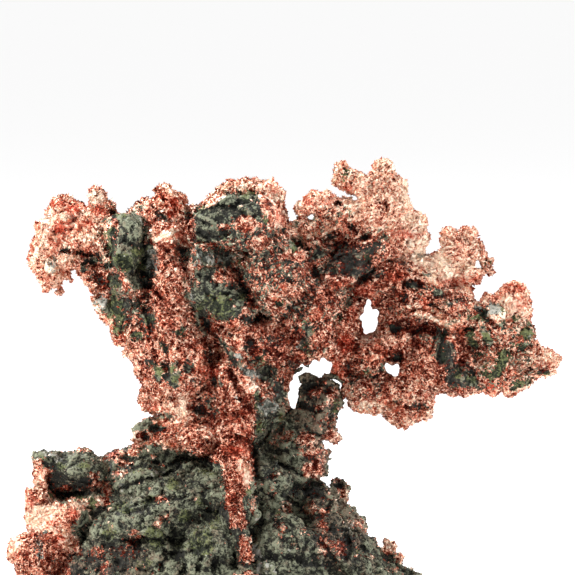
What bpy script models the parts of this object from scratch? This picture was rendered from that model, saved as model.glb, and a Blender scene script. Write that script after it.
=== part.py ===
"""Native copper specimen: a branching mass of metal that grips fragments of basalt and stands on a basalt mound.

Metres, +Z up, the broad view faces -Y. The origin is the middle of the flat cut that the piece rests on.
Run with: blender --background --python part.py
"""
import math

import bmesh
import bpy
from mathutils import Matrix, Vector

# ---- driving dimensions, in millimetres unless the name says otherwise ----
MM = 0.001
SPECIMEN_WIDTH = 111.0    # tip of the left foot to tip of the right branch
DRAWN_WIDTH = 111.0       # the same width in the lump lists below
UNIT = MM * SPECIMEN_WIDTH / DRAWN_WIDTH
SEAM = 0.35               # clearance where two pieces meet
SKIN = 0.8                # cell of the skin that joins a piece's lumps
CUT_HEIGHT = 0.0          # the level of the flat cut
LUMP_DETAIL = 3           # how finely a lump is divided
HOLE_DETAIL = 1           # how finely the shape that cuts a hole is divided

# ---- relief of each material: (pattern, height, size) of its coarse and fine layer, and how far it swells ----
RELIEF = {
    "copper": (("CLOUDS", 2.6, 4.6), ("CLOUDS", 1.6, 2.2), 0.55),
    "rock": (("VORONOI", 4.0, 7.5), ("CLOUDS", 1.4, 3.0), 0.1),
    "calcite": (("VORONOI", 0.4, 2.4), ("CLOUDS", 0.2, 1.0), 0.35),
}
FINISH = {  # base colour, roughness, metallic
    "copper": ((0.80, 0.38, 0.26), 0.38, 1.0),
    "rock": ((0.105, 0.115, 0.090), 0.85, 0.0),
    "calcite": ((0.62, 0.63, 0.57), 0.45, 0.0),
}

# ---- the pieces: each lump is (x, y, z, half width, half depth, half height) and may end with a lean in degrees ----
ROCK_BASE = [
    # the mound
    (-13, 2, 4, 33, 27, 23), (-23, 1, 17, 16, 18, 16.0), (-6, 3, 18, 14, 17, 19), (7, 2, 8, 13.5, 20, 14.5),
    (16.0, 0, 1, 12.0, 18, 9.5), (-34, 2, 7, 13, 20, 13), (-36, 3, 20, 8, 13, 9), (-31.5, 2, 28.5, 6.5, 10, 5),
    (-43, 4, 25.6, 4.2, 5, 5.4),
    # blocks and ledges that stand out of its front
    (-20, -15, 25, 12, 6, 5, 12), (-27, -17, 22.5, 7, 5, 3.5, 10), (-14, -20, 18, 6, 6, 5), (-16, -24, 9, 10, 5, 6),
    (-30, -17, 12, 8, 6, 5), (-36, -12, 12, 7, 7, 6), (0, -19, 14, 7, 6, 9), (9, -14, 17, 5, 6, 5), (4, -16, 5, 12, 9, 7),
    (-33, -13, 17.5, 5, 4, 3.4, -10), (-24, -19, 15.5, 5, 4, 2.8), (-8, -19, 24.5, 3.6, 3.4, 4.2), (-29, -9, 29.5, 5, 4, 2.4, 8),
    (-3, -13, 28.5, 4.0, 4, 3.6), (7, -12, 24.5, 3.0, 4, 3.0), (13, -13, 9.5, 4, 5, 4), (-2, -24, 5.5, 5, 4, 4), (-38, -14, 5, 5, 6, 4.4),
    (-25, -22, 6, 6, 5, 4.4), (18, -10, 6.5, 4.4, 5, 4.4), (6, -21, 10.5, 3.4, 3.4, 3.0),
    # blocks at its back
    (-20, 17, 22, 11, 6, 6, -8), (-2, 17, 24, 9, 6, 8), (11, 15, 11, 8, 7, 6), (-30, 16, 12, 10, 8, 7), (-8, 24, 8, 14, 6, 8),
    # the shoulder that climbs beside the trunk
    (2.0, -1, 31, 7.0, 9, 9), (4.0, -1, 37.0, 5.6, 7.5, 5.5), (6.6, -1, 43.0, 3.9, 5.6, 4.9), (5.2, -1, 46.4, 2.3, 4, 2.6),
    (7.2, 0, 38, 3.0, 5, 3.4), (5.4, 0, 31.8, 3.2, 5, 3.2), (9.8, -1, 45.0, 1.9, 3.4, 2.3),
    (3.9, -1, 48.4, 2.2, 3.4, 2.4), (9.7, -1, 48.2, 2.0, 3.2, 1.6),
    # knobs along its right edge
    (9.4, 0, 36.4, 1.1, 1.5, 0.9), (12.0, 0, 26.4, 2.1, 2.8, 2.3), (8.4, 0, 25.2, 3.2, 4, 3.4), (14.4, 1, 20.0, 1.6, 3, 1.8),
    (17.4, 0, 15.4, 1.4, 3, 1.6), (21.8, -1, 13.6, 1.2, 1.8, 2.0), (23.4, -1, 10.6, 1.6, 2, 1.6), (26.4, -1, 8.0, 1.6, 3, 1.6),
]
ROCK_LEDGE = [
    (-43.0, -5, 30.8, 6.8, 7, 3.0), (-40.0, -2, 31.4, 4.2, 8, 2.4), (-47.4, -4, 32.6, 3.8, 5, 2.2, 10), (-38.5, 2, 29.4, 4.0, 7, 3.0),
    (-43.6, -4, 33.4, 1.2, 2, 0.9),
]
ROCK_KNOB = [(-28.6, -5, 38.4, 2.3, 3, 2.0), (-26.2, -5, 39.3, 1.9, 3, 1.6)]
ROCK_BOULDER_LEFT = [
    (-31.2, -10, 78.4, 3.4, 5, 3.4), (-29.8, -8, 80.6, 2.2, 4, 1.4), (-31.4, -10.5, 73.2, 3.3, 5, 3.4), (-30.8, -11, 68.4, 3.0, 4.5, 2.2),
]
ROCK_BOULDER_CENTRE = [
    (-9.3, -12.5, 80.6, 7.2, 6, 4.4, 12), (-13.6, -12.5, 79.0, 5.0, 6, 2.9, 12), (-6.0, -12.5, 79.0, 4.0, 5, 3.9),
]
ROCK_BOULDER_LOWER = [(-12.6, -14.5, 66.8, 5.4, 5, 4.4), (-10.8, -15, 63.2, 4.4, 4.4, 3.0), (-15.6, -14, 69.8, 2.4, 4, 2.0)]
ROCK_CHUNK_MIDDLE = [(12.8, -6.5, 71.2, 4.7, 4.6, 3.0, 14), (16.6, -6.0, 74.2, 3.1, 3.6, 2.1, 24), (8.4, -8.0, 69.0, 2.8, 3.6, 2.4)]
ROCK_CHUNK_RIGHT = [(32.4, -6.6, 53.6, 2.1, 3.2, 4.4), (34.6, -6.4, 49.2, 3.2, 3.2, 2.8), (32.4, -6.0, 57.0, 1.5, 2.6, 1.5)]

COPPER_TRUNK = [
    # the body and its rim
    (-15, 2, 66, 16.6, 15, 16.6), (-25, 1, 77.6, 6.1, 9, 6.6), (-23.6, -1, 84.6, 2.5, 4, 1.9), (-28.4, 1, 78.8, 3.2, 8, 3.6),
    (-33.0, 2, 73.5, 5.6, 8, 6.5), (-8.4, 2, 79.0, 8.9, 10, 7.6), (-2.1, 1, 83.4, 2.0, 3.6, 3.6), (-6.2, 0, 86.1, 6.2, 4.6, 1.9),
    (-11.0, 0, 84.6, 2.4, 4, 1.8), (-30.6, 1, 63.0, 6.6, 10, 7.6), (-26.4, 0, 55.3, 6.0, 10, 6.8), (-37.4, 0, 68.6, 2.4, 4.4, 2.4), (-37.4, 0, 65.4, 1.7, 3, 2.4),
    (3, 1, 66, 9.6, 12, 9.6), (0, 1, 58.4, 9.5, 11, 6.4), (6.6, 1, 73, 5.6, 8, 4.2), (-1.6, 1, 77, 4.1, 8, 3.0),
    (5.6, 0, 55.4, 4.9, 8, 3.1), (-20.8, 0, 82.6, 1.4, 3, 2.0),
    # the waist, down to the mound
    (-24.0, 0, 46.0, 4.4, 8, 4.4), (-18.5, 0, 41.4, 6.8, 10, 8.0), (-11, -2, 43.6, 7.6, 10, 12), (-4.4, 1, 48.0, 5.2, 9, 8.0),
    (-2.2, 0, 43.0, 2.8, 6, 3.6), (-2.6, 0, 40.2, 2.4, 5, 2.6), (-27.2, 0, 43.2, 1.8, 4, 2.6), (-28.6, -2, 36.2, 1.5, 3, 1.0), (-24.5, -3, 36.2, 4.0, 6, 2.2),
    # thick knots on its front
    (-10.4, -11, 38.6, 2.9, 4, 3.6), (-17.0, -11, 38.0, 3.4, 4, 2.2), (-22.5, -14, 66, 2.6, 3.6, 9, 4), (-23.6, -10, 77.0, 2.9, 5, 3.0),
    (-21, -12, 54, 6.6, 4.6, 6.6), (-6, -13, 57, 6.6, 4.6, 3.6), (-2, -13, 70, 5.6, 4.6, 7.6), (5, -11, 62, 4.6, 4.6, 5.6),
    (-27.6, -9, 60, 3.4, 4, 4.6), (-16.4, -14.6, 74.4, 2.6, 3, 2.2), (-9.8, -13.4, 49.6, 3.4, 3.6, 4.4),
    # knots on its back
    (-19, 13, 73, 6.6, 5.4, 6.0), (-5, 12.6, 64, 6.6, 5, 7.4), (-25, 10, 61, 6.0, 5, 7.0), (-13, 14, 54.6, 8.0, 4.6, 5.4),
    (-11, 9, 82.6, 6, 4.4, 3.0), (3.4, 11, 71, 5, 4.4, 5.0), (-16, 9, 45, 6, 4, 5.6), (-30.6, 9, 71.6, 3.6, 4, 4.6),
    # the vein that runs down the front of the mound
    (-10.2, -16.5, 34.2, 2.7, 4.0, 3.0), (-9.0, -18.4, 30.2, 2.5, 3.4, 3.2), (-10.0, -20.2, 26.2, 2.0, 3.0, 2.8), (-10.0, -21.6, 22.6, 1.6, 2.8, 2.6),
    (-9.2, -23.0, 19.6, 1.5, 2.4, 2.0), (-8.2, -24.0, 16.6, 1.1, 2.2, 1.9), (-7.6, -25.0, 13.4, 1.1, 2.2, 2.2),
]
COPPER_LEFT_ARM = [
    (-38.6, 0, 77.2, 5.4, 5.6, 4.9), (-37.4, 1, 82.0, 1.7, 2.4, 2.9), (-37.6, 1, 85.2, 1.0, 1.4, 1.2), (-34.9, 1, 82.2, 1.5, 2.4, 1.9),
    (-43.4, 0, 79.6, 4.3, 4.1, 4.0), (-44.6, 0, 83.4, 2.1, 2.6, 1.5), (-41.4, 0, 82.2, 1.5, 2.2, 1.2), (-46.8, -1, 77.6, 2.8, 3.6, 3.6),
    (-48.7, 0, 79.3, 1.0, 1.5, 0.8), (-43.0, -1, 74.2, 4.4, 4.1, 3.0), (-48.5, -1, 73.2, 2.3, 3.0, 3.0), (-47.2, -1, 69.8, 2.3, 2.8, 2.1),
    (-50.6, -1, 71.4, 0.8, 1.5, 1.2), (-47.6, 0, 66.6, 1.0, 1.4, 1.0), (-45.0, 0, 66.3, 0.8, 1.1, 1.3), (-43.0, 0, 69.2, 0.9, 1.3, 1.3),
    (-38.6, 0, 70.8, 2.6, 3.4, 2.6),
]
COPPER_CROWN = [
    (19.4, 0, 79.6, 6.0, 5.4, 7.2), (19.9, 0, 89.2, 2.5, 2.6, 3.0), (22.8, 0, 85.0, 2.0, 3.0, 3.2), (16.2, 0, 87.2, 2.8, 2.6, 1.6),
    (12.4, 0, 88.6, 1.9, 2.2, 1.4), (11.0, 0, 90.6, 0.9, 1.4, 1.3), (11.0, 0, 87.6, 1.2, 1.6, 0.9), (7.4, -1, 81.3, 5.1, 4.4, 4.7),
    (3.0, 0, 82.8, 1.1, 1.5, 0.7), (4.8, -1, 77.4, 2.6, 4, 2.8), (12.6, -1, 79.6, 3.8, 4.4, 4.0), (25.4, 0, 78.8, 2.6, 3.2, 2.4),
    (27.8, 0, 79.9, 1.0, 1.3, 0.6), (25.4, 0, 75.2, 2.8, 3.6, 3.2), (17.5, 0, 76.0, 7.5, 5.3, 4.0), (2.4, 0, 80.8, 0.9, 1.6, 1.4),
]
COPPER_RIGHT_BRANCH = [
    # over and around the window
    (18.5, 1, 68.6, 8.0, 7, 4.2), (26, 0, 64.5, 6.2, 7, 5.6), (11.6, 1, 59.0, 2.8, 6.5, 7.0), (11.6, 1, 53.0, 3.2, 6.5, 3.6),
    (17.0, 0, 53.4, 4.8, 6.5, 3.4), (16.8, 0, 46.0, 4.2, 6, 3.8), (22.6, 0, 57.2, 3.6, 6.5, 5.6), (9.2, 0, 55.6, 2.4, 5, 2.4), (19.8, 0, 62.4, 1.8, 4.4, 2.4), (14.0, 0, 62.4, 1.5, 4.4, 2.2),
    (12.2, 0, 49.4, 1.6, 4, 1.6),
    # the hanging lobe
    (25.2, -1, 48.4, 4.0, 6.3, 5.4), (24.0, 0, 42.0, 3.6, 4.4, 3.2), (28.2, 0, 43.4, 1.8, 3.4, 3.2), (26.6, 0, 71.4, 2.4, 3.6, 1.6), (16.4, 0, 42.8, 2.2, 3.4, 1.2),
    # outwards to the tip
    (31.0, -1, 53.6, 5.4, 6.8, 7.2), (35.0, -1, 50.0, 5.0, 5.8, 4.8), (34.0, -1, 60.7, 4.8, 6.3, 4.4), (41.0, -1, 58.6, 5.0, 5.4, 5.6),
    (41.2, -1, 50.0, 5.0, 5.0, 4.8), (46.2, 0, 62.8, 3.1, 4.0, 4.4), (46.6, 0, 56.4, 3.3, 4.4, 3.8), (50.4, 0, 52.2, 4.8, 3.6, 2.3, -4), (48.9, 0, 54.6, 2.4, 3.6, 1.9),
    (45.8, 0, 48.6, 3.6, 4.0, 2.8), (45.4, 0, 44.8, 0.9, 1.2, 0.8), (41.4, 0, 63.8, 2.4, 3.0, 1.3), (43.6, 0, 66.4, 2.2, 2.6, 1.2), (34.6, 0, 65.0, 3.0, 3.6, 1.6),
    # the fin above
    (34.6, 2, 72.6, 4.4, 3.6, 4.2), (32.6, 2, 76.9, 1.3, 2.1, 1.4), (37.2, 2, 76.8, 1.7, 2.1, 1.3), (30.8, 1, 69.8, 3.8, 4.2, 2.6),
    (36.2, 1.5, 69.0, 2.8, 3.2, 1.9), (41.4, 2, 71.8, 0.9, 1.2, 0.9), (40.9, 2, 69.8, 1.1, 1.2, 0.6), (39.6, 2, 73.8, 0.7, 1.1, 1.0),
    (39.2, 2, 68.6, 1.0, 1.2, 0.8),
]
COPPER_FOOT = [
    (-48.8, -3, 28.2, 1.5, 3.4, 2.6), (-49.3, -5, 23.8, 2.4, 4.8, 3.0), (-46.0, -7, 20.6, 4.2, 6, 3.2), (-52.8, -4, 13.8, 2.3, 4.8, 2.4),
    (-48.0, -7, 14.5, 4.8, 7, 4.0), (-44.2, -9, 17.0, 3.0, 5, 3.6), (-50.6, -3, 9.0, 3.0, 8, 4.0), (-47.6, -4, 3.0, 5.4, 10, 6.0),
    (-42.6, -12, 22.6, 3.0, 4, 1.6), (-49.6, -4, 19.0, 2.4, 4, 3.0),
]

CALCITE_LEFT = [(-46.6, -4.4, 71.6, 1.2, 1.5, 2.0)]
CALCITE_SIDE = [(-36.2, -6.5, 63.6, 1.9, 2.4, 1.5)]
CALCITE_WAIST = [(-7.2, -15.2, 48.6, 2.6, 2.0, 1.2, -32)]
CALCITE_RIGHT = [(42.0, -6.0, 62.0, 2.0, 1.8, 1.2)]

# ---- holes that go right through the metal: (x, z, half width, half height) ----
HOLES = {
    "copper_right_branch": [(16.9, 60.4, 1.7, 3.0), (17.2, 63.0, 1.0, 1.2), (21.4, 50.2, 1.4, 1.2), (38.9, 71.2, 0.6, 0.9)],
    "copper_crown": [(5.2, 80.6, 0.8, 0.8)],
}
HOLE_DEPTH = 40.0

# ---- name: (lumps, material, triangles, the neighbours that it is fitted round) ----
PIECES = {
    "rock_base": (ROCK_BASE, "rock", 2300, ()),
    "rock_ledge": (ROCK_LEDGE, "rock", 170, ("rock_base",)),
    "rock_knob": (ROCK_KNOB, "rock", 80, ("rock_base",)),
    "rock_boulder_left": (ROCK_BOULDER_LEFT, "rock", 200, ()),
    "rock_boulder_centre": (ROCK_BOULDER_CENTRE, "rock", 220, ()),
    "rock_boulder_lower": (ROCK_BOULDER_LOWER, "rock", 140, ()),
    "rock_chunk_middle": (ROCK_CHUNK_MIDDLE, "rock", 140, ()),
    "rock_chunk_right": (ROCK_CHUNK_RIGHT, "rock", 120, ()),
    "calcite_left": (CALCITE_LEFT, "calcite", 44, ()),
    "calcite_side": (CALCITE_SIDE, "calcite", 44, ()),
    "calcite_waist": (CALCITE_WAIST, "calcite", 44, ()),
    "calcite_right": (CALCITE_RIGHT, "calcite", 44, ()),
    "copper_trunk": (COPPER_TRUNK, "copper", 1400, (
        "rock_base", "rock_knob", "rock_boulder_left", "rock_boulder_centre", "rock_boulder_lower", "rock_chunk_middle",
        "calcite_side", "calcite_waist")),
    "copper_left_arm": (COPPER_LEFT_ARM, "copper", 480, ("copper_trunk", "rock_boulder_left", "calcite_left")),
    "copper_crown": (COPPER_CROWN, "copper", 430, ("copper_trunk", "rock_chunk_middle")),
    "copper_right_branch": (COPPER_RIGHT_BRANCH, "copper", 1200, (
        "copper_trunk", "copper_crown", "rock_base", "rock_chunk_middle", "rock_chunk_right", "calcite_right")),
    "copper_foot": (COPPER_FOOT, "copper", 270, ("rock_base", "rock_ledge")),
}


def clear_scene():
    for old in list(bpy.data.objects):
        bpy.data.objects.remove(old, do_unlink=True)


def finish_material(name):
    colour, roughness, metallic = FINISH[name]
    material = bpy.data.materials.new(name)
    material.use_nodes = True
    shader = material.node_tree.nodes["Principled BSDF"]
    shader.inputs["Base Color"].default_value = (*colour, 1.0)
    shader.inputs["Roughness"].default_value = roughness
    shader.inputs["Metallic"].default_value = metallic
    return material


def add_object(name, mesh):
    obj = bpy.data.objects.new(name, mesh)
    bpy.context.scene.collection.objects.link(obj)
    return obj


def add_lump(bm, detail, x, y, z, half_width, half_depth, half_height, lean=0.0):
    """One ellipsoid, leaning about the Y axis."""
    place = (
        Matrix.Translation(Vector((x, y, z)) * UNIT)
        @ Matrix.Rotation(math.radians(-lean), 4, "Y")
        @ Matrix.Diagonal(Vector((half_width, half_depth, half_height, 1.0 / UNIT)) * UNIT)
    )
    bmesh.ops.create_icosphere(bm, subdivisions=detail, radius=1.0, matrix=place)


def lumps_object(name, lumps, detail):
    bm = bmesh.new()
    for lump in lumps:
        add_lump(bm, detail, *lump)
    mesh = bpy.data.meshes.new(name)
    bm.to_mesh(mesh)
    bm.free()
    return add_object(name, mesh)


def add_skin(obj):
    """Joins everything in the object into one closed surface."""
    skin = obj.modifiers.new("skin", "REMESH")
    skin.mode = "VOXEL"
    skin.voxel_size = SKIN * UNIT


def add_relief(obj, pattern, height, size):
    texture = bpy.data.textures.new(f"{obj.name}_{pattern.lower()}", pattern)
    texture.noise_scale = size * UNIT
    relief = obj.modifiers.new("relief", "DISPLACE")
    relief.texture = texture
    relief.texture_coords = "LOCAL"
    relief.strength = height * UNIT
    relief.mid_level = 0.5


def swell(obj, by):
    """Moves the surface outwards along its normals."""
    grow = obj.modifiers.new("swell", "DISPLACE")
    grow.strength = by * UNIT
    grow.mid_level = 0.0


def bake(obj):
    """Replaces the object's mesh by what its modifiers make of it."""
    graph = bpy.context.evaluated_depsgraph_get()
    made = bpy.data.meshes.new_from_object(obj.evaluated_get(graph))
    obj.modifiers.clear()
    obj.data = made


def triangle_count(obj):
    obj.data.calc_loop_triangles()
    return len(obj.data.loop_triangles)


def thin_out(obj, triangles):
    share = triangles / triangle_count(obj)
    if share < 1.0:
        fewer = obj.modifiers.new("fewer", "DECIMATE")
        fewer.ratio = share
        fewer.use_collapse_triangulate = True
        bake(obj)


def keep_largest_body(obj):
    """Drops the crumbs that a cut leaves loose."""
    bm = bmesh.new()
    bm.from_mesh(obj.data)
    bm.verts.ensure_lookup_table()
    unseen = set(bm.verts)
    bodies = []
    while unseen:
        front = [unseen.pop()]
        body = set(front)
        while front:
            for edge in front.pop().link_edges:
                for vert in edge.verts:
                    if vert in unseen:
                        unseen.discard(vert)
                        body.add(vert)
                        front.append(vert)
        bodies.append(body)
    largest = max(bodies, key=len)
    bmesh.ops.delete(bm, geom=[v for v in bm.verts if v not in largest], context="VERTS")
    bm.to_mesh(obj.data)
    bm.free()


def cut(obj, cutter):
    cutter.hide_render = True
    cutter.display_type = "WIRE"
    difference = obj.modifiers.new("cut", "BOOLEAN")
    difference.operation = "DIFFERENCE"
    difference.solver = "EXACT"
    difference.object = cutter
    bake(obj)
    bpy.data.objects.remove(cutter, do_unlink=True)


def grown_copy(obj, by):
    """The object's surface moved outwards, to cut a seat for it."""
    cutter = add_object(obj.name + "_seat", obj.data.copy())
    swell(cutter, by)
    bake(cutter)
    return cutter


def flatten_foot(obj):
    """Cuts everything below the resting level away and closes the cut."""
    bm = bmesh.new()
    bm.from_mesh(obj.data)
    level = Vector((0.0, 0.0, CUT_HEIGHT * UNIT))
    found = bmesh.ops.bisect_plane(
        bm, geom=bm.verts[:] + bm.edges[:] + bm.faces[:], plane_co=level, plane_no=(0, 0, 1), clear_inner=True)
    rim = [e for e in found["geom_cut"] if isinstance(e, bmesh.types.BMEdge) and e.is_boundary]
    if rim:
        bmesh.ops.holes_fill(bm, edges=rim)
        bmesh.ops.triangulate(bm, faces=bm.faces[:])
    bm.to_mesh(obj.data)
    bm.free()


def make_rough_body(name, lumps, kind, triangles):
    """The piece on its own: joined lumps, relief, holes and the flat cut."""
    obj = lumps_object(name, lumps, LUMP_DETAIL)
    coarse, fine, swelling = RELIEF[kind]
    add_skin(obj)
    add_relief(obj, *coarse)
    add_relief(obj, *fine)
    swell(obj, swelling)
    add_skin(obj)
    bake(obj)
    keep_largest_body(obj)
    thin_out(obj, triangles)
    for x, z, half_width, half_height in HOLES.get(name, ()):
        hole = lumps_object(name + "_hole", [(x, 0.0, z, half_width, HOLE_DEPTH, half_height)], HOLE_DETAIL)
        cut(obj, hole)
    flatten_foot(obj)
    return obj


def main():
    clear_scene()
    materials = {name: finish_material(name) for name in FINISH}
    made = {}
    for name, (lumps, kind, triangles, neighbours) in PIECES.items():
        obj = make_rough_body(name, lumps, kind, triangles)
        for other in neighbours:
            cut(obj, grown_copy(made[other], SEAM))
        keep_largest_body(obj)
        obj.data.materials.clear()
        obj.data.materials.append(materials[kind])
        obj.data.shade_flat()
        made[name] = obj
    corners = [v.co for obj in made.values() for v in obj.data.vertices]
    middle = Vector((
        (min(c.x for c in corners) + max(c.x for c in corners)) / 2,
        (min(c.y for c in corners) + max(c.y for c in corners)) / 2,
        CUT_HEIGHT * UNIT))
    for obj in made.values():
        obj.data.transform(Matrix.Translation(-middle))


main()
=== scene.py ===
import math

import bmesh
import bpy
import numpy as np
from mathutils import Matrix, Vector


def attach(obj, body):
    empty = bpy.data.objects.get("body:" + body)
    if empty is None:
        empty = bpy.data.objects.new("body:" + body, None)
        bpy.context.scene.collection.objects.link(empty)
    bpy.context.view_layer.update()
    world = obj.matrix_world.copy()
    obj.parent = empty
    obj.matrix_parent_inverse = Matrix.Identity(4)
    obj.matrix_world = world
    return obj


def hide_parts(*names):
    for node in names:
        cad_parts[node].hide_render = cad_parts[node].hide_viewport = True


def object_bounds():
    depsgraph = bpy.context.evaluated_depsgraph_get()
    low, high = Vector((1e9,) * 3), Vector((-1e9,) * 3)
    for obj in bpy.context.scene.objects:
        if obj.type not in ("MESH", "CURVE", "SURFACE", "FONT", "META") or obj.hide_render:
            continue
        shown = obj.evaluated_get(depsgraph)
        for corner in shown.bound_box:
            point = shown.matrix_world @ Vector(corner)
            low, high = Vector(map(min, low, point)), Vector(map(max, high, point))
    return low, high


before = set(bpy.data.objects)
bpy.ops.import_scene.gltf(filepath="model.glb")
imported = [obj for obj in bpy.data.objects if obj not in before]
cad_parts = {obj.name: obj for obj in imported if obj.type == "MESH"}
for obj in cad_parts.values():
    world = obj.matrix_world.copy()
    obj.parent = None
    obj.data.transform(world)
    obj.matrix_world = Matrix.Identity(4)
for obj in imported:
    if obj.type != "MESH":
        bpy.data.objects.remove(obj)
cadLow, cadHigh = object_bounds()
mm = 0.001

# where the viewer stands: height angle, distance in metres, the point looked at, lens and film width in mm
look = {"lift": 5.5, "distance": 0.65, "aim": (0.0007, 0.0, 0.0665), "lens": 203.0, "film": 36.0}

print("specimen: frame loaded")


# small helpers for node trees
def feed(tree, socket, value):   # links an output to the socket, or sets a plain value
    if isinstance(value, bpy.types.NodeSocket):
        tree.links.new(value, socket)
    else:
        socket.default_value = value


def addNode(tree, kind, links=None, **settings):
    node = tree.nodes.new(kind)
    for name, value in settings.items():
        setattr(node, name, value)
    for name, value in (links or {}).items():
        feed(tree, node.inputs[name], value)
    return node


def calc(tree, operation, a, b=0.0, c=0.0):
    return addNode(tree, "ShaderNodeMath", {0: a, 1: b, 2: c}, operation=operation).outputs[0]


def plus(tree, a, b):
    return calc(tree, "ADD", a, b)


def minus(tree, a, b):
    return calc(tree, "SUBTRACT", a, b)


def times(tree, a, b):
    return calc(tree, "MULTIPLY", a, b)


def timesPlus(tree, a, b, c):   # a times b, and c more
    return calc(tree, "MULTIPLY_ADD", a, b, c)


def vectorCalc(tree, operation, a, b=(0, 0, 0)):
    return addNode(tree, "ShaderNodeVectorMath", {0: a, 1: b}, operation=operation).outputs[0]


def scaled(tree, vector, by):
    return addNode(tree, "ShaderNodeVectorMath", {0: vector, "Scale": by}, operation="SCALE").outputs[0]


def step(tree, value, low, high, toLow=0.0, toHigh=1.0):   # smooth step from low to high
    links = {"Value": value, "From Min": low, "From Max": high, "To Min": toLow, "To Max": toHigh}
    return addNode(tree, "ShaderNodeMapRange", links, interpolation_type="SMOOTHSTEP").outputs[0]


def cloud(tree, coords, size, detail=2.0, roughness=0.5, warp=0.0):   # size is the pattern's size in metres
    return addNode(tree, "ShaderNodeTexNoise", {
        "Vector": coords, "Scale": 1.0 / size, "Detail": detail, "Roughness": roughness, "Distortion": warp,
    }).outputs[0]


def cells(tree, coords, size, feature="F1"):
    links = {"Vector": coords, "Scale": 1.0 / size}
    return addNode(tree, "ShaderNodeTexVoronoi", links, feature=feature).outputs["Distance"]


def named(tree, label):   # a value that the mesh carries
    node = addNode(tree, "GeometryNodeInputNamedAttribute", {"Name": label}, data_type="FLOAT")
    return node.outputs["Attribute"]


def newGeometryTree(name, values):   # values: (label, value); a whole number makes an input for whole numbers
    tree = bpy.data.node_groups.new(name, "GeometryNodeTree")
    tree.interface.new_socket("Geometry", in_out="INPUT", socket_type="NodeSocketGeometry")
    for label, value in values:
        kind = "NodeSocketInt" if isinstance(value, int) else "NodeSocketFloat"
        tree.interface.new_socket(label, in_out="INPUT", socket_type=kind).default_value = value
    tree.interface.new_socket("Geometry", in_out="OUTPUT", socket_type="NodeSocketGeometry")
    return tree


def blendColour(tree, share, a, b):
    node = tree.nodes.new("ShaderNodeMix")
    node.data_type = "RGBA"
    for place, value in ((0, share), (6, a), (7, b)):
        feed(tree, node.inputs[place], (*value, 1.0) if isinstance(value, tuple) else value)
    return node.outputs[2]


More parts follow.
